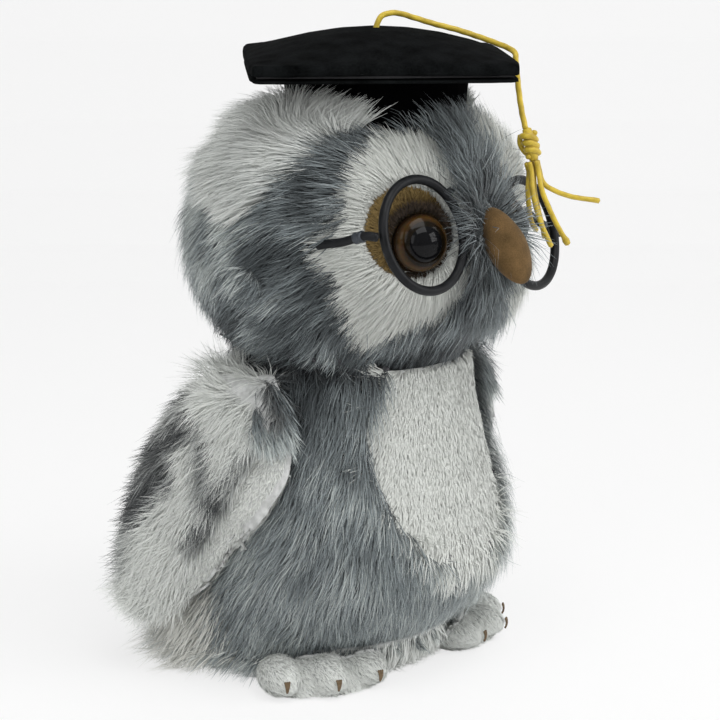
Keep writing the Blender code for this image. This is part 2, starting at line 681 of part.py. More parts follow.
def wing_pieces(side, hand, body_cut):
    """One wing: fur outside, a smooth lining where it lies on the body, and filling between."""
    reach = 3 * WING_REACH
    hinge = bpy.data.objects.new("shoulder_" + hand, None)
    hinge.location = (side * shoulder_x(), BODY_CENTRE_Y, WING_SHOULDER_Z)
    OWL.objects.link(hinge)
    bpy.context.view_layer.update()
    over = cutter("over_shoulder_" + hand, box((-reach, -reach, WING_SHOULDER_Z), (reach, reach, reach)))
    lining_cut = cutter("lining_clearance_" + hand, body_form(-(2 * SEAM_GAP + LINING_THICKNESS)))
    inside = cutter("lining_zone_" + hand, body_form(-(SEAM_GAP + LINING_THICKNESS)))
    core_cut = cutter("wing_core_room_" + hand, wing_form(side, WING_FUR_THICKNESS - SEAM_GAP))
    core_lining = cutter("core_clearance_" + hand, body_form(-(3 * SEAM_GAP + LINING_THICKNESS)))
    under = cutter("under_shoulder_" + hand,
                   box((-reach, -reach, WING_SHOULDER_Z - WING_FUR_THICKNESS), (reach, reach, reach)))
    fur = place("wing_%s_fur" % hand, wing_form(side, 0.0), WHITE_PLUSH)
    for other in (over, lining_cut, core_cut):
        boolean(fur, other)
    lining = place("wing_%s_lining" % hand, wing_form(side, 0.0), WHITE_PLUSH)
    boolean(lining, inside, "INTERSECT")
    boolean(lining, body_cut)
    boolean(lining, over)
    core = place("wing_%s_stuffing" % hand, wing_form(side, WING_FUR_THICKNESS), FILLING)
    for other in (under, core_lining):
        boolean(core, other)
    for piece in (fur, lining, core):
        piece.parent = hinge
        piece.matrix_parent_inverse = hinge.matrix_world.inverted()


def tail_piece(body_cut):
    """A small stuffed flap behind, sewn to the body above the base seam."""
    sizes = Vector((TAIL_HALF_WIDTH, TAIL_HALF_LENGTH, TAIL_HALF_THICKNESS))
    mesh = ball(sizes, Vector((0.0, 0.0, 0.0)), 16, 10)
    mesh.transform(Matrix.Translation((0.0, TAIL_CENTRE_Y, TAIL_CENTRE_Z))
                   @ Matrix.Rotation(-TAIL_DROOP, 4, "X"))
    boolean(place("tail", mesh, WHITE_PLUSH), body_cut)


def foot_pieces(side, hand, body_cut):
    """One foot: a pad with three rounded toes, flat where it stands."""
    turn = Matrix.Rotation(side * FOOT_TURN, 4, "Z")
    shift = Matrix.Translation((side * FOOT_X, FOOT_Y, 0.0))
    pad_sizes = Vector((FOOT_HALF_WIDTH, FOOT_HALF_LENGTH, FOOT_HEIGHT))
    pad = ball(pad_sizes, Vector((0.0, 0.0, 0.0)), 20, 10)
    pad.transform(shift @ turn)
    foot = place("foot_" + hand, pad, WHITE_PLUSH)
    for k, (across, back) in enumerate(TOE_SPREAD_SHARES):
        toe_sizes = Vector((TOE_RADIUS, TOE_HALF_LENGTH, TOE_HEIGHT))
        toe = ball(toe_sizes, Vector((0.0, 0.0, 0.0)), 16, 10)
        fan = Matrix.Rotation(across * TOE_FAN, 4, "Z")
        spot = Matrix.Translation((across * TOE_SPACING, -TOE_FORWARD - back * TOE_HALF_LENGTH,
                                   TOE_HEIGHT - FLOOR_FLAT))
        toe.transform(shift @ turn @ spot @ fan)
        boolean(foot, cutter("toe_%s_%d" % (hand, k + 1), toe), "UNION")
    reach = 2 * BODY_HALF_WIDTH
    boolean(foot, cutter("floor_" + hand, box((-reach, -reach, -reach), (reach, reach, 0.0))))
    boolean(foot, body_cut)


def board_turn():
    """The board's own axes: its corners point ahead, back and to both sides."""
    return Matrix.Rotation(math.pi / 4, 4, "Z")


def board_height(across, along):
    """Height of the board's top above its edge, from shares of its half side."""
    return BOARD_CROWN * (1.0 - across ** 2) * (1.0 - along ** 2)


def square_sheet(half_side, bottom, top, cuts, crown=False):
    """A square with round corners, flat below; its top may swell like a cushion."""
    bm = bmesh.new()
    bmesh.ops.create_cube(bm, size=2.0)
    upright = [edge for edge in bm.edges if abs(edge.verts[0].co.z - edge.verts[1].co.z) < 1.0]
    bmesh.ops.subdivide_edges(bm, edges=upright, cuts=cuts, use_grid_fill=True)
    for vert in bm.verts:
        across, along = vert.co.x, vert.co.y
        rise = board_height(across, along) if crown and vert.co.z > 0.0 else 0.0
        lean = BOARD_CORNER_RADIUS * (across * along) ** 6
        pull = 1.0 - lean / half_side * (1.0 - 1.0 / math.sqrt(2.0))
        vert.co = Vector((across * half_side * pull, along * half_side * pull,
                          (top if vert.co.z > 0.0 else bottom) + rise))
    bmesh.ops.transform(bm, matrix=board_turn(), verts=bm.verts)
    return mesh_from(bm, "square_sheet")


def cap_pieces():
    """Two felt sheets over a stiff card, and the velvet band that sits on the head."""
    half = BOARD_SIDE / 2
    felt_top = BOARD_BASE_Z + FELT_THICKNESS
    card_low = felt_top + SEAM_GAP
    card_high = card_low + CARD_THICKNESS
    hole = cutter("cord_hole", rod((0.0, 0.0, BOARD_BASE_Z - CUT_OVERRUN),
                                   (0.0, 0.0, BOARD_BASE_Z + 2 * CUT_OVERRUN), CORD_HOLE_RADIUS, 12))
    lower = place("cap_board_bottom", square_sheet(half, BOARD_BASE_Z, felt_top, 7), BLACK_FELT)
    card = place("cap_card", square_sheet(half - FELT_THICKNESS, card_low, card_high, 1), CARD)
    upper = place("cap_board_top", square_sheet(half, felt_top + SEAM_GAP, BOARD_BASE_Z + BOARD_EDGE_HEIGHT, 7, True),
                  BLACK_FELT)
    room = cutter("card_room", square_sheet(half - FELT_THICKNESS + SEAM_GAP, BOARD_BASE_Z,
                                            card_high + SEAM_GAP, 1))
    boolean(upper, room)
    for piece in (lower, card, upper):
        boolean(piece, hole)
    top = BOARD_BASE_Z - SEAM_GAP
    inner = BAND_RADIUS - BAND_THICKNESS
    profile = [(inner, top), (BAND_RADIUS, top), (BAND_RADIUS - BAND_FLARE / 2, (top + BAND_BOTTOM_Z) / 2),
               (BAND_RADIUS, BAND_BOTTOM_Z), (inner, BAND_BOTTOM_Z), (inner, top)]
    place("cap_band", turned(profile, 32), BLACK_VELVET)


# The cord's route over the board, in metres from the middle of the board's base
CORD_ROUTE = (
    (0.0, 0.0, 0.0), (0.0, 0.0, 0.0070), (0.0, 0.0, 0.0135), (0.0016, -0.0010, 0.0172), (0.0055, -0.0034, 0.0180),
    (0.0105, -0.0066, 0.0164), (0.0155, -0.0106, 0.0144), (0.0200, -0.0160, 0.0126),
    (0.0228, -0.0224, 0.0106), (0.0241, -0.0290, 0.0087), (0.0244, -0.0334, 0.0074),
    (0.0237, -0.0361, 0.0061), (0.0229, -0.0371, 0.0038),
)
# The hanging cord and the strands: out from the board's edge, along it, and down from the pivot
DROP_ROUTE = ((0.0, 0.0, -0.0009), (0.0008, -0.0003, -0.0080), (0.0018, -0.0009, -0.0150),
              (0.0030, -0.0016, -0.0205))
KNOT_AXIS = (0.20, -0.10, -0.975)
STRAND_ROUTES = (
    ((0.0092, -0.0036, -0.0380), (0.0165, -0.0028, -0.0415), (0.0262, -0.0026, -0.0432)),
    ((0.0060, -0.0022, -0.0400), (0.0078, -0.0024, -0.0480), (0.0094, -0.0028, -0.0545)),
    ((0.0036, -0.0046, -0.0400), (0.0044, -0.0054, -0.0480), (0.0062, -0.0060, -0.0520)),
    ((0.0048, -0.0076, -0.0400), (0.0068, -0.0090, -0.0480), (0.0102, -0.0108, -0.0560)),
    ((0.0080, -0.0064, -0.0400), (0.0120, -0.0068, -0.0490), (0.0160, -0.0072, -0.0560)),
)


def pivot_point():
    """Where the cord turns over the board's edge, which is the tassel's hinge."""
    return Vector(CORD_ROUTE[-1]) + Vector((0.0, 0.0, BOARD_BASE_Z))


def from_pivot(point):
    """A point given as out from the edge, along the edge and up, from the pivot."""
    out = Vector((1.0, -1.0, 0.0)).normalized()
    along = Vector((1.0, 1.0, 0.0)).normalized()
    return pivot_point() + out * point[0] + along * point[1] + Vector((0.0, 0.0, point[2]))


def knot_mesh(top, axis):
    """Turns of cord wound round the bundle: a barrel with a ridge for each turn."""
    turns = 5
    steps = 3 * turns
    profile = [(0.0, KNOT_HALF_HEIGHT)]
    for k in range(steps + 1):
        height = KNOT_HALF_HEIGHT * (1.0 - 2.0 * k / steps)
        swell = 0.72 + 0.28 * math.cos(math.pi / 2 * (height / KNOT_HALF_HEIGHT)) ** 0.5
        ridge = 1.0 - 0.10 * (1.0 + math.cos(math.tau * k / 3)) / 2
        profile.append((KNOT_RADIUS * swell * ridge, height))
    profile.append((0.0, -KNOT_HALF_HEIGHT))
    mesh = turned(profile, 14)
    centre = top + axis * KNOT_HALF_HEIGHT
    mesh.transform(Matrix.Translation(centre) @ (axis * -1.0).to_track_quat("Z", "Y").to_matrix().to_4x4())
    return mesh


def cord_and_tassel():
    """The cord from its knot under the board, over the edge, to the wound knot and its strands."""
    base = Vector((0.0, 0.0, BOARD_BASE_Z))
    anchor = base - Vector((0.0, 0.0, SEAM_GAP + ANCHOR_KNOT_RADIUS))
    knot_sizes = Vector((ANCHOR_KNOT_RADIUS, ANCHOR_KNOT_RADIUS, ANCHOR_KNOT_RADIUS))
    place("cord_anchor_knot", ball(knot_sizes, anchor, 12, 8), YELLOW_CORD)
    place("cord_top", tube([base + point for point in smooth_line(CORD_ROUTE, 3)], CORD_RADIUS), YELLOW_CORD)
    hinge = bpy.data.objects.new("tassel_pivot", None)
    hinge.location = pivot_point()
    OWL.objects.link(hinge)
    bpy.context.view_layer.update()
    drop = [from_pivot(point) for point in smooth_line(DROP_ROUTE, 3)]
    axis = (from_pivot(KNOT_AXIS) - pivot_point()).normalized()
    knot_top = drop[-1] + axis * SEAM_GAP
    pieces = [place("cord_drop", tube(drop, CORD_RADIUS), YELLOW_CORD),
              place("tassel_knot", knot_mesh(knot_top, axis), YELLOW_CORD)]
    knot_end = knot_top + axis * (2 * KNOT_HALF_HEIGHT + SEAM_GAP)
    across = axis.cross(Vector((1.0, 1.0, 0.0)).normalized()).normalized()
    beside = across.cross(axis)
    ring = 1.25 * STRAND_RADIUS / math.sin(math.pi / len(STRAND_ROUTES))
    for k, route in enumerate(STRAND_ROUTES):
        turn = math.tau * (k + 0.25) / len(STRAND_ROUTES)
        start = knot_end + (across * math.cos(turn) + beside * math.sin(turn)) * ring
        line = smooth_line([start, start + axis * (4 * STRAND_RADIUS)] + [from_pivot(point) for point in route], 3)
        pieces.append(place("tassel_strand_%d" % (k + 1), tube(line, STRAND_RADIUS), YELLOW_CORD))
    for piece in pieces:
        piece.parent = hinge
        piece.matrix_parent_inverse = hinge.matrix_world.inverted()


def spectacles_frame():
    """The spectacles' own axes: turned, rolled and tilted a little, as they sit on the face."""
    return (Matrix.Translation((SPECTACLES_X, SPECTACLES_Y, SPECTACLES_Z)) @ Matrix.Rotation(SPECTACLES_TURN, 4, "Z")
            @ Matrix.Rotation(SPECTACLES_ROLL, 4, "Y") @ Matrix.Rotation(-SPECTACLES_TILT, 4, "X"))


def arm_route(side):
    """From the rim's outer side, back over the temple and into the fur."""
    beside = RIM_SPACING + RIM_RADIUS + WIRE_RADIUS + SEAM_GAP + ARM_RADIUS
    start = spectacles_frame() @ Vector((side * beside, RIM_RADIUS * math.sin(RIM_WRAP), 0.0))
    bend = Vector((side * ARM_BEND.x, ARM_BEND.y, ARM_BEND.z))
    tuck = Vector((side * ARM_TUCK.x, ARM_TUCK.y, ARM_TUCK.z))
    elbow = start + Vector((side * ARM_RADIUS, 3 * ARM_RADIUS, 0.0))
    return [start, elbow, start.lerp(bend, 0.6), bend, tuck]


def bridge_route():
    """Over the root of the beak, from one rim to the other."""
    clear = RIM_RADIUS + WIRE_RADIUS + 2 * SEAM_GAP
    side = RIM_SPACING - clear * math.cos(BRIDGE_ANGLE)
    low = clear * math.sin(BRIDGE_ANGLE)
    spots = [(-side, 0.0, low), (-side / 2, -BRIDGE_FORWARD, low + BRIDGE_RISE * 0.75),
             (0.0, -BRIDGE_FORWARD, low + BRIDGE_RISE), (side / 2, -BRIDGE_FORWARD, low + BRIDGE_RISE * 0.75),
             (side, 0.0, low)]
    return [spectacles_frame() @ Vector(spot) for spot in spots]


def spectacles():
    """Two wire rims, a bridge over the beak, two temple arms and their crimp sleeves.

    Returns the cutters that leave room in the fur for the bridge and the arms.
    """
    frame = spectacles_frame()
    room = []
    for side, hand in ((-1, "right"), (1, "left")):
        wrap = Matrix.Translation((side * RIM_SPACING, 0.0, 0.0)) @ Matrix.Rotation(side * RIM_WRAP, 4, "Z")
        circle = [frame @ wrap @ Vector((x, 0.0, z)) for x, z in circle_lengths(RIM_RADIUS, 28)]
        place("spectacle_rim_" + hand, tube(circle, WIRE_RADIUS, cyclic=True), BLACK_WIRE)
        route = arm_route(side)
        line = smooth_line(route, 3)
        place("temple_arm_" + hand, tube(line, ARM_RADIUS), BLACK_WIRE)
        room.append(cutter("arm_room_" + hand, tube(smooth_line(route[-3:] + [route[-1] * 1.0
                           + (route[-1] - route[-2]).normalized() * ARM_RADIUS], 2), ARM_RADIUS + GROOVE_GAP)))
        sleeve_start = route[1].lerp(route[2], 0.03)
        sleeve_end = sleeve_start + (route[2] - route[1]).normalized() * SLEEVE_LENGTH
        sleeve = place("crimp_sleeve_" + hand, rod(sleeve_start, sleeve_end, SLEEVE_RADIUS, 16), GREY_SLEEVE)
        boolean(sleeve, cutter("sleeve_bore_" + hand, tube(line, ARM_RADIUS + SEAM_GAP / 2)))
    line = smooth_line(bridge_route(), 4)
    place("spectacle_bridge", tube(line, BRIDGE_RADIUS), BLACK_WIRE)
    longer = [line[0] + (line[0] - line[1]).normalized() * BRIDGE_RADIUS]
    longer += line[1:-1] + [line[-1] + (line[-1] - line[-2]).normalized() * BRIDGE_RADIUS]
    room.append(cutter("bridge_room", tube(longer, BRIDGE_RADIUS + GROOVE_GAP)))
    return room


body_pieces()
head_pieces(spectacles())
BODY_CUT = base_clearance()
tail_piece(BODY_CUT)
for SIDE, HAND in ((-1, "right"), (1, "left")):
    wing_pieces(SIDE, HAND, BODY_CUT)
    foot_pieces(SIDE, HAND, BODY_CUT)
cap_pieces()
cord_and_tassel()
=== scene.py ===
"""A graduate plush owl: a stuffed toy of long frosted pile with a felt cap and wire spectacles.

Metres, +Z up. The owl stands at the origin and looks along -Y, so its left side is +X.
"""
import math
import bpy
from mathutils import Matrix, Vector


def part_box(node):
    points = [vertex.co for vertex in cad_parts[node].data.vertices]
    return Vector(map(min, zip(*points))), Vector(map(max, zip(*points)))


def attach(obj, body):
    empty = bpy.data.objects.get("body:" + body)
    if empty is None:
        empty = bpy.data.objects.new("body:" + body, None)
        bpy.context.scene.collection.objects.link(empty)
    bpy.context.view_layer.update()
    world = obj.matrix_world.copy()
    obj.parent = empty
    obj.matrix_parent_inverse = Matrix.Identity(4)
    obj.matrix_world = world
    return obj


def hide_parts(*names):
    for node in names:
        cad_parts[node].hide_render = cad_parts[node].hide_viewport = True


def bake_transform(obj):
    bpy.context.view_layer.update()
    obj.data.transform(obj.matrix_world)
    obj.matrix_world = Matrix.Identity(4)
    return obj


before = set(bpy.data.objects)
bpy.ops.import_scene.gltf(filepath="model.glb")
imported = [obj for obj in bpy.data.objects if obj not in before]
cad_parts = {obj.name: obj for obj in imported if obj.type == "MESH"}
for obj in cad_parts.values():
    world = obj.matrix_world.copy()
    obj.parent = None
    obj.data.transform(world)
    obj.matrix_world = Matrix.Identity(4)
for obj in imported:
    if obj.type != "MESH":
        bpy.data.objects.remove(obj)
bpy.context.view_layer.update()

import bmesh
import bpy
import numpy as np
from mathutils import Matrix, Vector

# The photographer's table: a white sweep, a broad soft light above and two beside the owl,
# and the camera a little above the cap, ahead and to the owl's right.
scene = bpy.context.scene
scene.view_settings.view_transform = "Standard"
VIEW_TURN, VIEW_DOWN = math.radians(-49.07), 11.85
CAMERA_DISTANCE, CAMERA_SHIFT, CAMERA_HEIGHT = 0.79857, -0.00504, 0.26637
to_camera = Vector((math.sin(VIEW_TURN), -math.cos(VIEW_TURN), 0.0))
to_right = Vector((math.cos(VIEW_TURN), math.sin(VIEW_TURN), 0.0))


def new_material(name, **surface):
    """A node material with its shader's plain values; returns it, its nodes, its shader and a wire."""
    made = bpy.data.materials.new(name)
    made.use_nodes = True
    nodes = made.node_tree.nodes
    shader = nodes["Principled BSDF"]
    for label, value in surface.items():
        shader.inputs[label.replace("_", " ")].default_value = value
    return made, nodes, shader, made.node_tree.links.new


def tint(red, green, blue):
    return (red, green, blue, 1.0)


def add_object(name, data, finish=None):
    """A mesh, a lamp or a camera put into the scene, with its material."""
    made = bpy.data.objects.new(name, data)
    scene.collection.objects.link(made)
    if finish:
        data.materials.append(finish)
    return made


def mesh_of(shell, name, smooth=True):
    """The mesh of a shell that was built face by face."""
    mesh = bpy.data.meshes.new(name)
    shell.to_mesh(mesh)
    shell.free()
    if smooth:
        mesh.shade_smooth()
    return mesh


def white_sweep():
    """The paper sweep: a floor that rises behind in a wide bend."""
    sweep = bmesh.new()
    bend, bend_start, half_width = 0.5, -0.7, 2.4
    profile = [(1.6, 0.0), (0.2, 0.0), (bend_start, 0.0)]
    for angle in range(10, 91, 10):
        turned = math.radians(angle)
        profile.append((bend_start - bend * math.sin(turned), bend - bend * math.cos(turned)))
    profile.append((-1.2, 2.6))
    rows = []
    for along, high in profile:
        rows.append([sweep.verts.new(to_camera * along + to_right * across + Vector((0.0, 0.0, high)))
                     for across in (-half_width, half_width)])
    for near, far in zip(rows, rows[1:]):
        sweep.faces.new((near[0], near[1], far[1], far[0]))
    bmesh.ops.recalc_face_normals(sweep, faces=sweep.faces)
    return mesh_of(sweep, "paper_sweep", smooth=False)


paper, nodes, shader, wire = new_material("white_paper", Roughness=0.9, Base_Color=tint(0.93, 0.93, 0.93))
rays = nodes.new("ShaderNodeLightPath").outputs
seen = rays["Is Camera Ray"]
for kind in ("Is Glossy Ray", "Is Transmission Ray"):
    either = nodes.new("ShaderNodeMath")
    either.operation = "MAXIMUM"
    wire(seen, either.inputs[0])
    wire(rays[kind], either.inputs[1])
    seen = either.outputs[0]
whitened = nodes.new("ShaderNodeMath")
whitened.operation = "MULTIPLY"
whitened.inputs[1].default_value = 0.72
wire(seen, whitened.inputs[0])
lit_mix = nodes.new("ShaderNodeMixShader")
wire(whitened.outputs[0], lit_mix.inputs["Fac"])
wire(shader.outputs[0], lit_mix.inputs[1])
wire(nodes.new("ShaderNodeEmission").outputs[0], lit_mix.inputs[2])
wire(lit_mix.outputs[0], nodes["Material Output"].inputs["Surface"])
add_object("paper_sweep", white_sweep(), paper)

world = bpy.data.worlds.new("soft_room")
scene.world = world
world.use_nodes = True
world.node_tree.nodes["Background"].inputs["Color"].default_value = tint(1.0, 1.0, 1.0)
world.node_tree.nodes["Background"].inputs["Strength"].default_value = 0.40


def soft_lamp(name, place, size, power):
    """A square diffusing panel that faces the owl's middle."""
    data = bpy.data.lights.new(name, "AREA")
    data.shape = "SQUARE"
    data.size = size
    data.energy = power
    lamp = add_object(name, data)
    lamp.location = place
    lamp.rotation_euler = (Vector((0.0, 0.0, 0.1)) - Vector(place)).to_track_quat("-Z", "Y").to_euler()


soft_lamp("overhead_panel", (-0.15, -0.45, 1.10), 0.8, 7.0)
soft_lamp("right_panel", (-1.05, -0.25, 0.55), 0.7, 2.6)
soft_lamp("left_panel", (0.55, -1.05, 0.50), 0.6, 5.0)

camera_data = bpy.data.cameras.new("photo_camera")
camera_data.sensor_width = 36.0
camera_data.lens = 128.11
camera_data.clip_start = 0.05
camera = add_object("photo_camera", camera_data)
camera.location = to_camera * CAMERA_DISTANCE + to_right * CAMERA_SHIFT + Vector((0.0, 0.0, CAMERA_HEIGHT))
camera.rotation_euler = (math.radians(90.0 - VIEW_DOWN), 0.0, VIEW_TURN)
scene.camera = camera


# The cord: 2 mm twisted rayon cord, bright yellow, knotted under the middle of the cap and brought
# up through it, laid over the board, and turned down over the front left edge to its tassel.
PLIES, PLY_GROOVE, PLY_TWIST = 3, 0.10, 1500.0


def smooth_line(points, pieces):
    """Points along a smooth curve through the given points."""
    points = [Vector(point) for point in points]
    ends = [2 * points[0] - points[1]] + points + [2 * points[-1] - points[-2]]
    line = []
    for before, start, end, after in zip(ends, ends[1:], ends[2:], ends[3:]):
        for step in range(pieces):
            t = step / pieces
            square = 2 * before - 5 * start + 4 * end - after
            cube = 3 * start - before - 3 * end + after
            line.append(0.5 * (2 * start + (end - before) * t + square * t ** 2 + cube * t ** 3))
    line.append(points[-1])
    return line


def line_length(line):
    return sum((end - start).length for start, end in zip(line, line[1:]))


def frames_along(line):
    """Each point of a line with two steady directions across it."""
    across = None
    for k, spot in enumerate(line):
        ahead = (line[min(k + 1, len(line) - 1)] - line[max(k - 1, 0)]).normalized()
        if across is None:
            across = ahead.orthogonal().normalized()
        across = (across - ahead * across.dot(ahead)).normalized()
        yield spot, across, ahead.cross(across)


def join_rings(shell, rings):
    """Faces between each ring of points and the next."""
    for one, two in zip(rings, rings[1:]):
        for k in range(len(one)):
            after = (k + 1) % len(one)
            shell.faces.new((one[k], one[after], two[after], two[k]))


def swept_tube(line, radius, sides, twist=0.0):
    """A round-ended tube along a line; where it has a twist, its plies wind round it as in a cord.

    The radius is a length, or gives one for each share of the line's length.
    """
    radius_at = radius if callable(radius) else lambda share: radius
    tube = bmesh.new()
    rings = []
    gone = 0.0
    last = line[0]
    total = line_length(line)
    for spot, across, beside in frames_along(line):
        gone += (spot - last).length
        last = spot
        ring = []
        for k in range(sides):
            angle = math.tau * k / sides
            groove = PLY_GROOVE * (0.5 - 0.5 * math.cos(PLIES * angle + twist * gone)) if twist else 0.0
            reach = radius_at(gone / total) * (1.0 - groove)
            ring.append(tube.verts.new(spot + (across * math.cos(angle) + beside * math.sin(angle)) * reach))
        rings.append(ring)
    join_rings(tube, rings)
    for ring, spot, inner, share in ((rings[0], line[0], line[1], 0.0), (rings[-1], line[-1], line[-2], 1.0)):
        tip = tube.verts.new(spot + (spot - inner).normalized() * radius_at(share) * 0.5)
        for k in range(sides):
            tube.faces.new((ring[k], ring[(k + 1) % sides], tip))
    bmesh.ops.recalc_face_normals(tube, faces=tube.faces)
    return mesh_of(tube, "swept_tube")


def new_group(name, tree_kind, inputs, outputs):
    """A node group whose sockets are given as labels of each kind; returns it with its two ends."""
    tree = bpy.data.node_groups.new(name, tree_kind)
    for way, sockets in (("INPUT", inputs), ("OUTPUT", outputs)):
        for kind, labels in sockets:
            for label in labels:
                tree.interface.new_socket(label, in_out=way, socket_type="NodeSocket" + kind)
    return tree, tree.nodes.new("NodeGroupInput").outputs, tree.nodes.new("NodeGroupOutput").inputs


def mottled_tree():
    """Noise that picks a tone between two colours; the noise itself comes out as a height."""
    tree, given, result = new_group(
        "mottled_tone", "ShaderNodeTree",
        (("Color", ("Dark", "Pale")), ("Float", ("Scale", "Detail", "Distortion", "Low", "High"))),
        (("Color", ("Colour",)), ("Float", ("Height",))))
    wire = tree.links.new
    noise = tree.nodes.new("ShaderNodeTexNoise")
    wire(tree.nodes.new("ShaderNodeTexCoord").outputs["Object"], noise.inputs["Vector"])
    for label in ("Scale", "Detail", "Distortion"):
        wire(given[label], noise.inputs[label])
    share = tree.nodes.new("ShaderNodeMapRange")
    wire(noise.outputs["Fac"], share.inputs["Value"])
    wire(given["Low"], share.inputs["From Min"])
    wire(given["High"], share.inputs["From Max"])
    blend = tree.nodes.new("ShaderNodeMix")
    blend.data_type = "RGBA"
    wire(share.outputs["Result"], blend.inputs["Factor"])
    wire(given["Dark"], blend.inputs["A"])
    wire(given["Pale"], blend.inputs["B"])
    wire(blend.outputs["Result"], result["Colour"])
    wire(noise.outputs["Fac"], result["Height"])
    return tree


mottled_tone = mottled_tree()


def feed_shader(finish, label, value):
    finish.node_tree.links.new(value, finish.node_tree.nodes["Principled BSDF"].inputs[label])


def mottled(name, dark, pale, scale, low=0.0, high=1.0, detail=2.0, distortion=0.0, **surface):
    """A material mottled between two colours; returned with the group's colour and height."""
    finish, nodes, _, _ = new_material(name, **surface)
    tone = nodes.new("ShaderNodeGroup")
    tone.node_tree = mottled_tone
    for label, value in (("Dark", tint(*dark)), ("Pale", tint(*pale)), ("Scale", scale), ("Detail", detail),
                         ("Distortion", distortion), ("Low", low), ("High", high)):
        tone.inputs[label].default_value = value
    feed_shader(finish, "Base Color", tone.outputs["Colour"])
    return finish, tone.outputs


def object_noise(finish, scale, detail=2.0, kind="Noise"):
    """A noise or wave texture over a piece's own coordinates, added to its material."""
    nodes = finish.node_tree.nodes
    texture = nodes.new("ShaderNodeTex" + kind)
    texture.inputs["Scale"].default_value = scale
    texture.inputs["Detail"].default_value = detail
    finish.node_tree.links.new(nodes.new("ShaderNodeTexCoord").outputs["Object"], texture.inputs["Vector"])
    return texture


def add_relief(finish, height, strength, distance):
    """Raise a material's surface by a height, as far as the distance at most."""
    relief = finish.node_tree.nodes.new("ShaderNodeBump")
    relief.inputs["Strength"].default_value = strength
    relief.inputs["Distance"].default_value = distance
    finish.node_tree.links.new(height, relief.inputs["Height"])
    feed_shader(finish, "Normal", relief.outputs["Normal"])


BOARD_Z = 0.1905
cord_spots = [Vector((x, y, z + BOARD_Z)) for x, y, z in (
    (0.0, 0.0, 0.0), (0.0, 0.0, 0.0070), (0.0, 0.0, 0.0135), (0.0016, -0.0010, 0.0172),
    (0.0055, -0.0034, 0.0180), (0.0105, -0.0066, 0.0164), (0.0155, -0.0106, 0.0144),
    (0.0200, -0.0160, 0.0126), (0.0228, -0.0224, 0.0106), (0.0241, -0.0290, 0.0087),
    (0.0244, -0.0334, 0.0074), (0.0237, -0.0361, 0.0061), (0.0229, -0.0371, 0.0038))]
pivot = cord_spots[-1].copy()
out_from_edge = Vector((1.0, -1.0, 0.0)).normalized()
along_edge = Vector((1.0, 1.0, 0.0)).normalized()


def from_pivot(spot):
    """A place given as out from the board's edge, along the edge, and up, from the cord's turn."""
    return pivot + out_from_edge * spot[0] + along_edge * spot[1] + Vector((0.0, 0.0, spot[2]))


drop_spots = [from_pivot(spot) for spot in ((0.0008, -0.0003, -0.0080), (0.0018, -0.0009, -0.0150),
                                            (0.0030, -0.0016, -0.0205))]
cord_line = smooth_line(cord_spots + drop_spots, 8)

cord_finish, _ = mottled("yellow_rayon_cord", (0.42, 0.29, 0.012), (0.68, 0.50, 0.035), 260.0, low=0.30,
                         high=0.70, Roughness=0.48, Sheen_Weight=0.25)
plies = object_noise(cord_finish, 330.0, kind="Wave")
plies.inputs["Distortion"].default_value = 1.2
plies.bands_direction = "DIAGONAL"
add_relief(cord_finish, plies.outputs["Fac"], 0.35, 0.00008)

cord = add_object("cap_cord", swept_tube(cord_line, 0.00095, 18, PLY_TWIST), cord_finish)
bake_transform(cord)
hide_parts("cord_top", "cord_drop")

# The tassel's knot: the cord's end and the strands' middles drawn into one overhand knot,
# two fat loops above and the tail wrapped close below them.
knot_axis = (from_pivot((0.20, -0.10, -0.975)) - pivot).normalized()
knot_top = drop_spots[-1] + knot_axis * 0.0003
knot_out = (out_from_edge - knot_axis * out_from_edge.dot(knot_axis)).normalized()
knot_side = knot_out.cross(knot_axis).normalized()


def knot_place(out, side, down):
    return knot_top + knot_out * out + knot_side * side + knot_axis * down


KNOT_TURNS, KNOT_STEPS = 3.6, 100
knot_line = []
for step in range(KNOT_STEPS + 1):
    share = step / KNOT_STEPS
    angle = math.tau * KNOT_TURNS * share
    down = 0.0012 + 0.0076 * share + 0.0007 * math.sin(angle + 0.6) * (1.0 - 0.5 * share)
    reach = 0.00205 - 0.0004 * share + 0.00025 * math.sin(2.0 * angle)
    lean = 0.0004 + 0.0004 * share
    knot_line.append(knot_place(reach * math.cos(angle) + lean, reach * math.sin(angle), down))
core_line = smooth_line([knot_place(0.0003, 0.0, 0.0), knot_place(0.0005, 0.0, 0.003),
                         knot_place(0.0006, 0.0, 0.007), knot_place(0.0006, 0.0, 0.0098)], 3)
crossing_line = smooth_line([knot_place(-0.0018, 0.0012, 0.0016), knot_place(-0.0024, 0.0018, 0.0040),
                             knot_place(-0.0016, 0.0026, 0.0064), knot_place(0.0, 0.0022, 0.0088)], 6)


def core_radius(share):
    return 0.0014 + 0.0005 * math.sin(math.pi * share)


knot = add_object("tassel_knot_loops", swept_tube(knot_line, 0.00098, 14, PLY_TWIST), cord_finish)
core = add_object("tassel_knot_core", swept_tube(core_line, core_radius, 14), cord_finish)
crossing = add_object("tassel_knot_crossing", swept_tube(crossing_line, 0.0009, 14, PLY_TWIST), cord_finish)
for piece in (knot, core, crossing):
    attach(piece, "tassel")
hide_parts("tassel_knot")

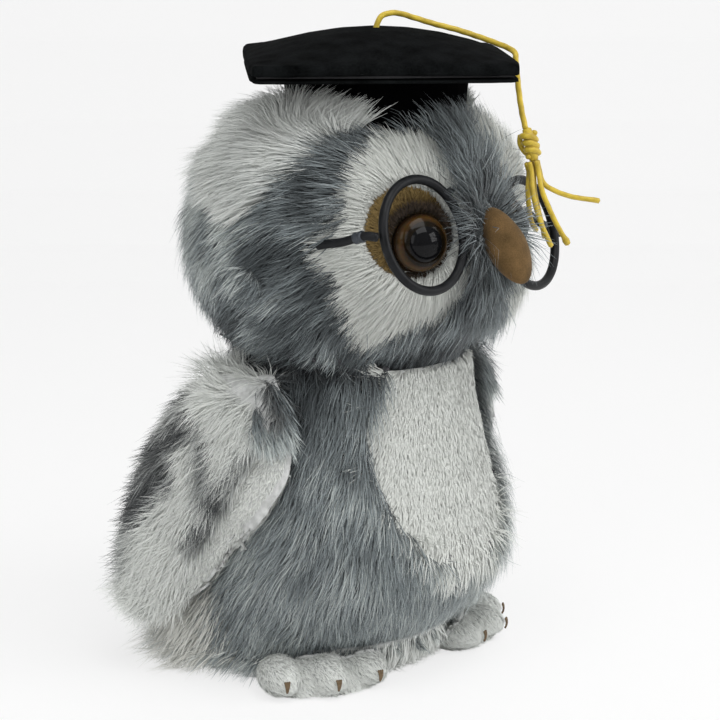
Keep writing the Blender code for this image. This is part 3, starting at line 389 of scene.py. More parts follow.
# The tassel's strands: five cut ends of the same cord, their tips sealed with a flame, so that one
# ends in a bead, one in a flat tab, and one springs outwards.
STRAND_RADIUS = 0.00085
strand_routes = (
    ((0.0092, -0.0036, -0.0380), (0.0165, -0.0028, -0.0415), (0.0262, -0.0026, -0.0432)),
    ((0.0060, -0.0022, -0.0400), (0.0078, -0.0024, -0.0480), (0.0094, -0.0028, -0.0545)),
    ((0.0036, -0.0046, -0.0400), (0.0044, -0.0054, -0.0480), (0.0062, -0.0060, -0.0520)),
    ((0.0048, -0.0076, -0.0400), (0.0068, -0.0090, -0.0480), (0.0102, -0.0108, -0.0560)),
    ((0.0080, -0.0064, -0.0400), (0.0120, -0.0068, -0.0490), (0.0160, -0.0072, -0.0560)),
)
TAB, PLAIN, BEAD = 0.22, 0.06, 0.55
knot_end = knot_top + knot_axis * 0.0103
ring = 1.25 * STRAND_RADIUS / math.sin(math.pi / 5)
for k, (route, swell) in enumerate(zip(strand_routes, (TAB, TAB, PLAIN, PLAIN, BEAD))):
    angle = math.tau * (k + 0.25) / 5
    start = knot_end + (knot_out * math.cos(angle) + knot_axis.cross(knot_out) * -math.sin(angle)) * ring

    def strand_radius(share, swell=swell):
        return STRAND_RADIUS * (1.0 + swell * math.exp(-((share - 0.965) / 0.03) ** 2))

    line = smooth_line([start, start + knot_axis * 0.0034] + [from_pivot(spot) for spot in route], 6)
    strand = add_object("strand_%d" % (k + 1), swept_tube(line, strand_radius, 14, PLY_TWIST + 90.0 * k),
                        cord_finish)
    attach(strand, "tassel")
    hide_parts("tassel_strand_%d" % (k + 1))
tuple(cord_spots[0])
line_length(cord_line)
[tuple(spot) for spot in cord_line]


# The body: a pear-shaped bag of knitted pile fabric, frosted grey, its fibres long enough to hide the
# seams. The backing is cut and sewn inside out; the fibres lie downwards, and back towards the rump.
FLOOR_GAP, CAP_UNDERSIDE, BACKING_CLEARANCE = 0.0004, 0.1898, 0.0012
SPREAD_ON_FLOOR, SPREAD_UNDER_CAP = 0.5, 0.6
body_middle = Vector((0.0, 0.008, 0.0))


def rise(value, low, high):
    """0 below low, 1 above high, smooth between them."""
    share = min(max((value - low) / (high - low), 0.0), 1.0)
    return share * share * (3.0 - 2.0 * share)


def cad_surface(node):
    """The surface of a CAD solid, its facets joined, ready to be worked on."""
    surface = bmesh.new()
    surface.from_mesh(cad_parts[node].data)
    bmesh.ops.remove_doubles(surface, verts=surface.verts, dist=0.00001)
    return surface


def even_out(shell, verts):
    bmesh.ops.smooth_vert(shell, verts=verts, factor=0.5, use_axis_x=True, use_axis_y=True, use_axis_z=True)


def backing(node, name, depth, faces_out, cuts=2, hem_passes=0):
    """The knitted backing: a panel's outer faces, drawn finer and let in by the depth of the pile."""
    cloth = cad_surface(node)
    cloth.normal_update()
    inner = [face for face in cloth.faces if not faces_out(face.calc_center_median(), face.normal)]
    bmesh.ops.delete(cloth, geom=inner, context="FACES")
    bmesh.ops.subdivide_edges(cloth, edges=cloth.edges, cuts=cuts, use_grid_fill=True)
    bmesh.ops.triangulate(cloth, faces=cloth.faces)
    for _ in range(4):
        even_out(cloth, [vert for vert in cloth.verts if not vert.is_boundary])
    hem = [vert for vert in cloth.verts if vert.is_boundary]
    for _ in range(hem_passes):
        beside = [[edge.other_vert(vert).co.copy() for edge in vert.link_edges if edge.is_boundary]
                  for vert in hem]
        for vert, spots in zip(hem, beside):
            vert.co = vert.co.lerp(sum(spots, Vector()) / len(spots), 0.5)
    cloth.normal_update()
    moves = [vert.normal * -depth for vert in cloth.verts]
    for vert, move in zip(cloth.verts, moves):
        vert.co += move
        vert.co.z = max(vert.co.z, BACKING_CLEARANCE)
    cloth.normal_update()
    return mesh_of(cloth, name)


def comb(mesh, flow_at, shade_at, length_at=None, tips=0.0):
    """Write how the fibres lie, how pale they are and how long, at each point of a backing.

    The paleness is read where the fibre's tip comes to lie, that far along the nap.
    """
    flows, shades, reaches = [], [], []
    for vert in mesh.vertices:
        normal = vert.normal
        way = flow_at(vert.co)
        way = way - normal * way.dot(normal)
        way = way.normalized() if way.length > 1e-6 else normal.orthogonal()
        flows.extend(way)
        shades.append(shade_at(vert.co + way * tips))
        reaches.append(length_at(vert.co) if length_at else 1.0)
    mesh.attributes.new("flow", "FLOAT_VECTOR", "POINT").data.foreach_set("vector", flows)
    mesh.attributes.new("shade", "FLOAT", "POINT").data.foreach_set("value", shades)
    mesh.attributes.new("reach", "FLOAT", "POINT").data.foreach_set("value", reaches)


def pile_tree():
    """Stand fibres on a backing: tapered blades that leave the cloth, lean along the nap and bend over."""
    tree, given, result = new_group(
        "pile_fibres", "GeometryNodeTree",
        (("Geometry", ("Backing",)),
         ("Float", ("Fibres per Area", "Length", "Width", "Lean", "Bend", "Lock Size", "Lock Turn", "Stray",
                    "Tone Spread", "Lock Tone", "Crispness")),
         ("Int", ("Points Along", "Seed")), ("Material", ("Finish",))),
        (("Geometry", ("Fibres",)),))
    link = tree.links.new

    def node(kind, inputs=(), **settings):
        """A node with its settings, and its inputs as values or as sockets to read, by label or by place."""
        made = tree.nodes.new(kind)
        for key, value in settings.items():
            setattr(made, key, value)
        for label, value in inputs:
            if isinstance(value, bpy.types.NodeSocket):
                link(value, made.inputs[label])
            else:
                made.inputs[label].default_value = value
        return made

    def maths(operation, *terms):
        """The terms, taken together one after another."""
        total = terms[0]
        for term in terms[1:]:
            total = node("ShaderNodeMath", ((0, total), (1, term)), operation=operation).outputs[0]
        return total

    def add(*terms):
        return maths("ADD", *terms)

    def times(*terms):
        return maths("MULTIPLY", *terms)

    def chance(low, high, step):
        """A value drawn for each fibre; each step is a draw of its own."""
        return node("FunctionNodeRandomValue", ((2, low), (3, high), ("Seed", add(given["Seed"], step))),
                    data_type="FLOAT").outputs[1]

    def read(name, kind="FLOAT"):
        return node("GeometryNodeInputNamedAttribute", (("Name", name),), data_type=kind).outputs["Attribute"]

    def cloud(scale, offset):
        """Soft noise about nought; each offset is a field of its own."""
        here = node("GeometryNodeInputPosition").outputs[0]
        shift = (offset, offset * 0.7, offset * 1.3)
        spot = node("ShaderNodeVectorMath", ((0, here), (1, shift)), operation="ADD")
        noise = node("ShaderNodeTexNoise", (("Detail", 1.0), ("Vector", spot.outputs[0]), ("Scale", scale)))
        return maths("SUBTRACT", noise.outputs[0], 0.5)

    def keep(geometry, name, kind, domain, value):
        inputs = (("Name", name), ("Geometry", geometry), ("Value", value))
        return node("GeometryNodeStoreNamedAttribute", inputs, data_type=kind,
                    domain=domain).outputs["Geometry"]

    def turned(rotation, axis, angle):
        """A rotation followed by a turn about one of its own axes."""
        turn = node("FunctionNodeAxisAngleToRotation", (("Axis", axis), ("Angle", angle)))
        return node("FunctionNodeRotateRotation", ((0, rotation), (1, turn.outputs[0])),
                    rotation_space="LOCAL").outputs[0]

    spread = node("GeometryNodeDistributePointsOnFaces",
                  (("Mesh", given["Backing"]), ("Density", given["Fibres per Area"]),
                   ("Seed", given["Seed"])),
                  distribute_method="RANDOM")

    # The fibres gather in locks, and each lock in finer ones, that differ in tone and in direction.
    lock_scale = maths("DIVIDE", 1.0, given["Lock Size"])
    fine_scale = times(lock_scale, 3.1)
    tone = add(read("shade"), times(cloud(lock_scale, 3.0), given["Lock Tone"]),
               times(cloud(fine_scale, 5.0), times(given["Lock Tone"], 0.6)),
               times(chance(-0.5, 0.5, 11), given["Tone Spread"]))
    tone = maths("MINIMUM", maths("MAXIMUM", tone, 0.0), 1.0)
    points = keep(spread.outputs["Points"], "tone", "FLOAT", "POINT", tone)
    points = keep(points, "stand", "FLOAT_VECTOR", "POINT", spread.outputs["Normal"])

    stand = node("FunctionNodeAxesToRotation",
                 ((0, spread.outputs["Normal"]), (1, read("flow", "FLOAT_VECTOR"))),
                 primary_axis="Z", secondary_axis="Y")
    yaw = add(times(cloud(lock_scale, 9.0), given["Lock Turn"]),
              times(cloud(fine_scale, 21.0), times(given["Lock Turn"], 0.7)),
              times(chance(-1.0, 1.0, 23), given["Stray"]))
    combed = turned(stand.outputs[0], (0.0, 0.0, 1.0), yaw)
    rolled = turned(combed, (0.0, 1.0, 0.0), chance(-0.5, 0.5, 31))

    # One blade, of unit length and width, narrowing to its tip and bending over as it rises.
    grid = node("GeometryNodeMeshGrid", (("Size X", 1.0), ("Size Y", 1.0), ("Vertices X", 2),
                                         ("Vertices Y", given["Points Along"])))
    flat = node("ShaderNodeSeparateXYZ", ((0, node("GeometryNodeInputPosition").outputs[0]),)).outputs
    up = add(flat["Y"], 0.5)
    taper = maths("SUBTRACT", 1.0, times(maths("POWER", up, 2.2), 0.86))
    angle = add(given["Lean"], times(up, given["Bend"]))
    forward, upward = times(up, maths("SINE", angle, 0.0)), times(up, maths("COSINE", angle, 0.0))
    place = node("ShaderNodeCombineXYZ", (("X", times(flat["X"], taper)), ("Y", forward), ("Z", upward)))
    marked = keep(grid.outputs["Mesh"], "along", "FLOAT", "POINT", up)
    marked = keep(marked, "aside", "FLOAT", "POINT", add(flat["X"], 0.5))
    blade = node("GeometryNodeSetPosition", (("Geometry", marked), ("Position", place.outputs[0])))

    reach = times(given["Length"], read("reach"), chance(0.72, 1.12, 41),
                  add(1.0, times(cloud(lock_scale, 33.0), 0.5)))
    size = node("ShaderNodeCombineXYZ", (("X", times(given["Width"], chance(0.7, 1.25, 47))), ("Y", reach),
                                         ("Z", times(reach, chance(0.7, 1.3, 53)))))
    plant = node("GeometryNodeInstanceOnPoints", (("Points", points), ("Instance", blade.outputs[0]),
                                                  ("Rotation", rolled), ("Scale", size.outputs[0])))
    real = node("GeometryNodeRealizeInstances", ((0, plant.outputs[0]),))

    # U is the fibre's tone and V the share of its length, each kept a little inside the map's border.
    across = add(times(read("tone"), 0.94), add(0.03, times(read("aside"), 0.004)))
    colour_place = node("ShaderNodeCombineXYZ", (("X", across), ("Y", add(times(read("along"), 0.96), 0.02))))
    mapped = keep(real.outputs[0], "OFBake", "FLOAT2", "CORNER", colour_place.outputs[0])

    # The blades are lit partly as the cloth beneath them is, as soft pile scatters light.
    normal, cloth_normal = node("GeometryNodeInputNormal").outputs[0], read("stand", "FLOAT_VECTOR")
    own = node("ShaderNodeVectorMath", ((0, normal), ("Scale", given["Crispness"])), operation="SCALE")
    facing = node("ShaderNodeVectorMath", ((0, own.outputs[0]), (1, cloth_normal)), operation="ADD")
    unit = node("ShaderNodeVectorMath", ((0, facing.outputs[0]),), operation="NORMALIZE")
    softened = node("GeometryNodeSetMeshNormal", (("Mesh", mapped), ("Custom Normal", unit.outputs[0])),
                    mode="FREE", domain="POINT")
    finished = node("GeometryNodeSetMaterial", (("Geometry", softened.outputs[0]),
                                                ("Material", given["Finish"])))
    link(finished.outputs[0], result[0])
    return tree


pile_fibres = pile_tree()
rest_of_pile = {"lean": 0.55, "bend": 0.55, "lock_size": 0.011, "lock_turn": 0.9, "stray": 0.24,
                "tone_spread": 0.40, "lock_tone": 0.7, "crispness": 0.45, "points_along": 4}


def drop_attributes(mesh, names):
    for spare in names:
        if spare in mesh.attributes:
            mesh.attributes.remove(mesh.attributes[spare])


def grow_pile(mesh, name, count, finish, body, slot, **sizes):
    """Fibres over a combed backing, turned into one plain mesh that rides with its body.

    Fibres that would reach under the floor, or into the cap, lie along it and spread outwards.
    """
    host = add_object(name + "_host", mesh)
    growth = host.modifiers.new("pile", "NODES")
    growth.node_group = pile_fibres
    values = {label.replace("_", " ").title(): value for label, value in dict(rest_of_pile, **sizes).items()}
    values["Fibres per Area"] = count / sum(face.area for face in mesh.polygons)
    values["Finish"] = finish
    values["Seed"] = len(name) * 7 + sum(ord(letter) for letter in name)
    for socket in pile_fibres.interface.items_tree:
        if socket.in_out == "INPUT" and socket.name in values:
            growth[socket.identifier] = values[socket.name]
    grown = bpy.data.meshes.new_from_object(host.evaluated_get(bpy.context.evaluated_depsgraph_get()))
    drop_attributes(grown, ("tone", "stand", "along", "aside", "flow", "shade", "reach"))
    host.modifiers.remove(growth)
    bpy.data.objects.remove(host)
    spots = np.zeros(len(grown.vertices) * 3)
    grown.vertices.foreach_get("co", spots)
    spots = spots.reshape(-1, 3)
    under = np.minimum(spots[:, 2] - FLOOR_GAP, 0.0)
    outwards = spots[:, :2] - np.array(body_middle.xy)
    outwards /= np.maximum(np.linalg.norm(outwards, axis=1, keepdims=True), 1e-6)
    spots[:, :2] -= outwards * under[:, None] * SPREAD_ON_FLOOR
    spots[:, 2] -= under
    over = np.maximum(spots[:, 2] - CAP_UNDERSIDE, 0.0)
    spots[:, :2] += outwards * over[:, None] * SPREAD_UNDER_CAP
    spots[:, 2] -= over
    grown.vertices.foreach_set("co", spots.ravel())
    grown.name = name
    fur = add_object(name, grown)
    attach(fur, body)


def lay_cloth(mesh, name, finish, body, slot, *nodes):
    """The backing itself, 0.8 mm thick, drawn tight by what fills it; it stands for the panel."""
    drop_attributes(mesh, ("flow", "shade", "reach"))
    cloth = add_object(name, mesh, finish)
    wall = cloth.modifiers.new("cloth_thickness", "SOLIDIFY")
    wall.thickness = 0.0008
    wall.offset = -1.0
    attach(cloth, body)
    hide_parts(*nodes)


def root_to_tip_tree():
    """The way from a fibre's colour at its root to that at its tip."""
    tree, given, result = new_group("root_to_tip", "ShaderNodeTree", (("Color", ("Root", "Tip")),),
                                    (("Color", ("Colour",)),))
    wire = tree.links.new
    place = tree.nodes.new("ShaderNodeUVMap")
    place.uv_map = "OFBake"
    parts = tree.nodes.new("ShaderNodeSeparateXYZ")
    wire(place.outputs["UV"], parts.inputs[0])
    fade = tree.nodes.new("ShaderNodeMapRange")
    fade.interpolation_type = "SMOOTHSTEP"
    fade.inputs["From Min"].default_value = 0.05
    fade.inputs["From Max"].default_value = 0.85
    wire(parts.outputs["Y"], fade.inputs["Value"])
    blend = tree.nodes.new("ShaderNodeMix")
    blend.data_type = "RGBA"
    wire(fade.outputs["Result"], blend.inputs["Factor"])
    wire(given["Root"], blend.inputs["A"])
    wire(given["Tip"], blend.inputs["B"])
    wire(blend.outputs["Result"], result["Colour"])
    return tree


root_to_tip = root_to_tip_tree()


def colour_ramp(nodes, stops):
    ramp = nodes.new("ShaderNodeValToRGB")
    for k, (spot, colour) in enumerate(stops):
        stop = ramp.color_ramp.elements[k] if k < 2 else ramp.color_ramp.elements.new(spot)
        stop.position = spot
        stop.color = tint(*colour)
    return ramp


def pile_finish(name, roots, tips, roughness=0.62, sheen=0.25):
    """Pile colour: along each fibre from root to tip, and from the dark fibres to the pale ones."""
    finish, nodes, shader, wire = new_material(name, Roughness=roughness, Sheen_Weight=sheen,
                                               Specular_IOR_Level=0.25)
    place = nodes.new("ShaderNodeUVMap")
    place.uv_map = "OFBake"
    parts = nodes.new("ShaderNodeSeparateXYZ")
    wire(place.outputs["UV"], parts.inputs[0])
    fade = nodes.new("ShaderNodeGroup")
    fade.node_tree = root_to_tip
    for end, stops in (("Root", roots), ("Tip", tips)):
        ramp = colour_ramp(nodes, stops)
        wire(parts.outputs["X"], ramp.inputs["Fac"])
        wire(ramp.outputs["Color"], fade.inputs[end])
    wire(fade.outputs["Colour"], shader.inputs["Base Color"])
    return finish


def knit_finish(name, colour, dark):
    """The knitted backing, seen only where the fibres part."""
    finish, loops = mottled(name, dark, colour, 420.0, low=0.35, high=0.65, Roughness=0.95)
    add_relief(finish, loops["Height"], 0.5, 0.0002)
    return finish


grey_pile = pile_finish("frosted_grey_pile",
                        ((0.0, (0.012, 0.014, 0.016)), (0.5, (0.062, 0.071, 0.076)),
                         (1.0, (0.44, 0.47, 0.45))),
                        ((0.0, (0.042, 0.050, 0.054)), (0.5, (0.262, 0.300, 0.310)),
                         (1.0, (0.78, 0.83, 0.80))))
white_pile = pile_finish("warm_white_pile",
                         ((0.0, (0.46, 0.47, 0.44)), (1.0, (0.70, 0.715, 0.68))),
                         ((0.0, (0.55, 0.565, 0.53)), (1.0, (0.78, 0.80, 0.765))))
grey_knit = knit_finish("grey_knit_backing", (0.10, 0.098, 0.105), (0.04, 0.04, 0.045))
white_knit = knit_finish("white_knit_backing", (0.66, 0.67, 0.66), (0.48, 0.49, 0.48))
cream_pile = pile_finish("cream_white_pile",
                         ((0.0, (0.30, 0.30, 0.27)), (1.0, (0.62, 0.62, 0.58))),
                         ((0.0, (0.72, 0.73, 0.68)), (1.0, (0.93, 0.93, 0.88))))


def cut_out(mesh, name, wanted):
    """The part of a backing that lies where it is wanted, as a copy with its combing."""
    piece = mesh.copy()
    piece.name = name
    cloth = bmesh.new()
    cloth.from_mesh(piece)
    unwanted = [face for face in cloth.faces if not wanted(face.calc_center_median())]
    bmesh.ops.delete(cloth, geom=unwanted, context="FACES")
    cloth.to_mesh(piece)
    cloth.free()
    return piece


def body_faces(centre, normal):
    return normal.dot(Vector((centre.x, centre.y - body_middle.y, 0.0)).normalized()) > 0.15


def body_flow(spot):
    """Downwards, and on each side swept back towards the rump."""
    side = rise(abs(spot.x), 0.012, 0.050) * rise(0.110 - spot.z, 0.0, 0.06)
    return Vector((0.0, 0.55 * side, -1.0))


def side_place(spot):
    """A place on the owl as it is seen from ahead and to one side, alike for both sides."""
    inner = abs(spot.x)
    return Vector((-0.655 * inner - 0.756 * spot.y, -0.155 * inner + 0.135 * spot.y + 0.979 * spot.z))


def stroke_distance(place, start, end):
    """How far a place is from the straight stroke between two others."""
    start, end = Vector(start), Vector(end)
    along = min(max((place - start).dot(end - start) / (end - start).length_squared, 0.0), 1.0)
    return (place - start.lerp(end, along)).length


def stroke_depth(place, strokes):
    """How strongly a place is darkened, or lightened where negative, by soft strokes laid over the pile."""
    return sum(depth * rise(1.6 * wide - stroke_distance(place, start, end), 0.0, 1.2 * wide)
               for start, end, wide, depth in strokes)


def body_tone_with_painted_light(spot):
    """Darker at the shoulder, paler at the hem and on the rump; darker towards the top as painted shade under
    the head, and paler low on the left as painted light from the lamp on that side.
    """
    # Painted shade: the upper body is darkened as if shaded by the head above it.
    high = rise(spot.z, 0.055, 0.100)
    hem = rise(0.026 - spot.z, 0.0, 0.022)
    rump = rise(spot.y, 0.020, 0.060) * rise(0.055 - spot.z, 0.0, 0.045)
    # Painted light: the front of the left side is made paler as if lit by the lamp on that side.
    left = rise(spot.x, -0.01, 0.03) * rise(-spot.y, 0.0, 0.02)
    from_shoulder = (side_place(spot) - Vector((-0.0305, 0.0885))).length
    shoulder = rise(0.020 - from_shoulder, 0.0, 0.010)
    return 0.53 - 0.20 * high + 0.12 * hem + 0.70 * rump + 0.24 * left - 0.30 * shoulder


def body_reach(spot):
    """Longest over the rump, and short over the feet."""
    rump = rise(spot.y, 0.020, 0.055) * rise(0.060 - spot.z, 0.0, 0.040)
    over_feet = rise(-spot.y, -0.010, 0.010) * rise(0.034 - spot.z, 0.0, 0.020)
    seam = rise(-spot.y, 0.0, 0.012) * rise(0.022 - spot.z, 0.0, 0.008)
    return 1.0 + 0.35 * rump - 0.45 * over_feet - 0.15 * seam


def rump_reach(spot):
    return 0.02 + 1.3 * rise(spot.y, 0.010, 0.030) * rise(0.047 - spot.z, 0.0, 0.014)


body_backing = backing("body_skin", "body_backing", 0.0045, body_faces)
comb(body_backing, body_flow, body_tone_with_painted_light, body_reach)
grow_pile(body_backing, "body_fur", 30500, grey_pile, "owl", "grey_fur", length=0.0125, width=0.00029)
grow_pile(body_backing, "body_fur_fine", 38500, grey_pile, "owl", "grey_fur", length=0.0115, width=0.00024,
          points_along=3, tone_spread=0.5)
rump = cut_out(body_backing, "rump", lambda spot: spot.y > 0.012 and spot.z < 0.045)
rump.attributes["reach"].data.foreach_set("value", [rump_reach(vert.co) for vert in rump.vertices])
grow_pile(rump, "rump_fur", 11500, cream_pile, "owl", "grey_fur", length=0.0150, width=0.00032)
lay_cloth(body_backing, "body_backing", grey_knit, "owl", "grey_fur", "body_skin")


# The belly and the round base: cream-white plush with a shorter pile, let into the front of the body
# and turned under it. The base is the flat that the owl stands on, with pellets above it.
def belly_edge(spot):
    """0 over most of the belly, rising to 1 at its seam, and the way from the belly's middle."""
    away = Vector(((spot.x - 0.0035) / 0.0345, 0.0, (spot.z - 0.0770) / 0.0390))
    return rise(away.length, 0.72, 0.98), away


def belly_flow(spot):
    """Downwards, and outwards over the grey pile beside the seam."""
    near, away = belly_edge(spot)
    return Vector((0.30 * away.x, 0.0, -1.0)) * (1.0 - 0.75 * near) + away * 1.6 * near


def belly_reach(spot):
    """Longer at the seam, and longest below, but short under the chin."""
    longer = 1.9 + 1.3 * rise(0.062 - spot.z, 0.0, 0.015)
    return 1.0 + longer * belly_edge(spot)[0] * rise(0.108 - spot.z, 0.0, 0.010)


belly_backing = backing("belly_panel", "belly_backing", 0.0016, body_faces)
comb(belly_backing, belly_flow, lambda spot: 0.72, belly_reach)
grow_pile(belly_backing, "belly_fur", 30000, white_pile, "owl", "white_plush", length=0.0030, width=0.00045,
          lean=0.75, bend=0.5, crispness=0.0, tone_spread=0.10, lock_tone=0.25, lock_size=0.022,
          lock_turn=0.35, stray=0.35, points_along=3)
lay_cloth(belly_backing, "belly_backing", white_knit, "owl", "white_plush", "belly_panel")

foot_pile = pile_finish("bright_white_pile",
                        ((0.0, (0.66, 0.68, 0.64)), (1.0, (0.82, 0.84, 0.81))),
                        ((0.0, (0.74, 0.76, 0.72)), (1.0, (0.90, 0.92, 0.89))))


def base_faces(centre, normal):
    return normal.z < 0.45


def base_flow(spot):
    return Vector((spot.x, spot.y - body_middle.y, -0.03))


def base_reach(spot):
    return 0.35 + 0.65 * rise(spot.z, 0.0005, 0.004)


base_backing = backing("base_panel", "base_backing", 0.0018, base_faces, cuts=1, hem_passes=6)
comb(base_backing, base_flow, lambda spot: 0.8, base_reach)
grow_pile(base_backing, "base_fur", 12000, foot_pile, "owl", "white_plush", length=0.0100, width=0.00034,
          lean=0.50, bend=0.60, points_along=3, tone_spread=0.2, lock_tone=0.3)
lay_cloth(base_backing, "base_backing", white_knit, "owl", "white_plush", "base_panel")


# The wings: two leaves of fabric sewn round their edge and lightly stuffed, long white fur barred with
# dark grey outside, short smooth plush inside, hung from the shoulder by one seam.
wing_bars = (((0.0280, 0.0906), (0.0342, 0.0843), 0.0026, 0.6),
             ((0.0223, 0.0836), (0.0394, 0.0700), 0.0027, 1.0),
             ((0.0326, 0.0666), (0.0484, 0.0502), 0.0036, 1.0),
             ((0.0161, 0.0786), (0.0160, 0.0641), 0.0022, 0.75),
             ((0.0124, 0.0604), (0.0118, 0.0600), 0.0028, 1.0),
             ((0.0124, 0.0604), (-0.0032, 0.0783), 0.0012, 0.7),
             ((0.0161, 0.0535), (0.0228, 0.0459), 0.0021, 0.9),
             ((0.0496, 0.0392), (0.0549, 0.0315), 0.0026, 0.7))


def leaf_place(spot):
    """A place on a wing, laid flat as it is seen from ahead and to one side."""
    inner = 0.062 - abs(spot.x)
    return Vector((spot.y - 0.867 * inner, spot.z + 0.278 * inner))


def barred(place):
    """How dark the wing's fur is at a place, from its bars."""
    return max(depth * rise(1.8 * wide - stroke_distance(place, start, end), 0.0, 1.1 * wide)
               for start, end, wide, depth in wing_bars)


def band_distance(place):
    """How far a place is above the smooth band along the wing's lower front edge."""
    return (place.y - 0.0831 + 1.447 * (place.x + 0.0082)) / 1.759


def out_of_form(spot, normal, middle, half):
    """Whether a face looks outwards from an egg of the given middle and half sizes."""
    away = Vector([(a - b) / (h * h) for a, b, h in zip(spot, middle, half)])
    return normal.dot(away.normalized()) > 0.05


def leaf_faces(centre, normal):
    middle = Vector((math.copysign(0.054, centre.x), 0.0235, 0.0600))
    return out_of_form(centre, normal, middle, Vector((0.010, 0.030, 0.042)))


def leaf_flow(spot):
    """Down and back along the leaf, fanned out over its rear edge and up over its top."""
    top = rise(spot.z, 0.088, 0.098) * rise(spot.y, 0.004, 0.016)
    return Vector((0.0, 0.45 + 1.3 * rise(spot.y, 0.015, 0.060), 1.6 * top - 1.0))


def leaf_shade(spot):
    shoulder = rise(0.006 - spot.y, 0.0, 0.005) * rise(spot.z, 0.080, 0.086)
    return 0.95 - 0.95 * max(barred(leaf_place(spot)), shoulder)


def leaf_reach(spot):
    """Short on the band, long over the rest, and longest at the top and the rear."""
    high = rise(spot.z, 0.084, 0.094)
    rear = rise(spot.y, 0.030, 0.050)
    off_band = rise(band_distance(leaf_place(spot)), -0.001, 0.0025)
    return 0.17 + 0.83 * max(off_band, high, rise(0.036 - spot.z, 0.0, 0.01)) + 0.25 * high + 0.35 * rear


white_long_pile = pile_finish("barred_white_pile",
                              ((0.0, (0.014, 0.016, 0.017)), (0.45, (0.19, 0.20, 0.195)),
                               (1.0, (0.74, 0.76, 0.72))),
                              ((0.0, (0.030, 0.034, 0.037)), (0.5, (0.42, 0.44, 0.43)),
                               (1.0, (0.86, 0.88, 0.845))))
for name in ("wing_right", "wing_left"):
    leaf = backing(name + "_fur", name + "_fur_backing", 0.0022, leaf_faces)
    comb(leaf, leaf_flow, leaf_shade, leaf_reach, tips=0.006)
    grow_pile(leaf, name + "_long_fur", 26000, white_long_pile, name, "white_fur", length=0.0100,
              width=0.00029, lean=0.65, tone_spread=0.25, lock_tone=0.30, lock_turn=0.8, lock_size=0.008,
              stray=0.50, points_along=3)
    shoulder = cut_out(leaf, name + "_shoulder", lambda spot: spot.y < 0.004 and spot.z > 0.083)
    comb_forward = (0.0, -0.45, -0.90) * len(shoulder.vertices)
    shoulder.attributes["flow"].data.foreach_set("vector", comb_forward)
    paler_below = [0.22 + 0.60 * rise(0.094 - vert.co.z, 0.0, 0.010) for vert in shoulder.vertices]
    shoulder.attributes["shade"].data.foreach_set("value", paler_below)
    shoulder.attributes["reach"].data.foreach_set("value", [1.0] * len(shoulder.vertices))
    grow_pile(shoulder, name + "_shoulder_fur", 2000, grey_pile, name, "grey_fur", length=0.0090,
              width=0.00032, lean=0.60, points_along=3)
    lay_cloth(leaf, name + "_fur_backing", white_knit, name, "white_fur", name + "_fur")
    under = backing(name + "_lining", name + "_lining_backing", 0.0012, leaf_faces)
    comb(under, leaf_flow, lambda spot: 0.85)
    grow_pile(under, name + "_short_fur", 7000, white_pile, name, "white_plush", length=0.0035, width=0.00036,
              lean=0.9, bend=0.5, points_along=3, tone_spread=0.2, lock_tone=0.3)
    lay_cloth(under, name + "_lining_backing", white_knit, name, "white_plush", name + "_lining")

# The tail: a short flap of the wings' fur, sewn into the rear seam above the base.
tail_low, tail_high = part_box("tail")
tail_middle, tail_half = (tail_low + tail_high) / 2, (tail_high - tail_low) / 2


def tail_faces(centre, normal):
    return out_of_form(centre, normal, tail_middle, tail_half)


def tail_flow(spot):
    return Vector((spot.x * 12.0, 0.5, -1.0))


def tail_shade(spot):
    """One dark bar across the middle."""
    return 0.9 - 0.7 * rise(0.006 - abs(spot.z - tail_middle.z), 0.0, 0.004)


tail_backing = backing("tail", "tail_backing", 0.0015, tail_faces)
comb(tail_backing, tail_flow, tail_shade)
grow_pile(tail_backing, "tail_fur", 6000, white_long_pile, "owl", "white_fur", length=0.0110, width=0.00036,
          lean=0.8, bend=0.5)
lay_cloth(tail_backing, "tail_backing", white_knit, "owl", "white_fur", "tail")

# The feet: two shaped pads of short white plush, three stuffed toes each, sewn under the front of the
# body. Each toe ends in a claw of a few brown thread stitches.
claw_thread, _ = mottled("brown_claw_thread", (0.060, 0.036, 0.016), (0.220, 0.150, 0.080), 1500.0,
                         Roughness=0.7)
TOE_LENGTH, TOE_HEIGHT, STITCH_GAP = 0.0119, 0.0064, 0.0007


def turn_about(axis, degrees):
    return Matrix.Rotation(math.radians(degrees), 4, axis)


def stitch_line(toe, beside):
    """One stitch, drawn over the end of a toe from its top to its tip."""
    angles = [0.25 - 0.14 * k for k in range(5)]
    return [toe @ Vector((beside * (1.0 - 0.25 * k), -TOE_LENGTH * math.cos(angle),
                          TOE_HEIGHT * math.sin(angle)))
            for k, angle in enumerate(angles)]


for hand, side in (("right", -1.0), ("left", 1.0)):
    name = "foot_" + hand
    pad = backing(name, name + "_backing", 0.0010, lambda centre, normal: True)
    comb(pad, lambda spot: Vector((0.0, -1.0, -0.6)), lambda spot: 0.88)
    grow_pile(pad, name + "_plush", 11000, foot_pile, "owl", "white_plush", length=0.0024, width=0.00030,
              bend=0.7, points_along=3, tone_spread=0.2, lock_tone=0.3, lock_size=0.004)
    lay_cloth(pad, name + "_backing", white_knit, "owl", "white_plush", name)
    foot = Matrix.Translation((side * 0.0345, -0.0065, 0.0)) @ turn_about("Z", side * 27.0)
    for across, forward in ((-1.0, -0.00099), (0.0, -0.0049), (1.0, -0.00099)):
        toe = foot @ Matrix.Translation((across * 0.0139, forward, 0.0059)) @ turn_about("Z", across * 8.0)
        for beside in (-STITCH_GAP, 0.0, STITCH_GAP):
            stitch = add_object("claw_%s_%d_%d" % (hand, across, round(beside * 10000)),
                                swept_tube(stitch_line(toe, beside), 0.00034, 8), claw_thread)
            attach(stitch, "owl")

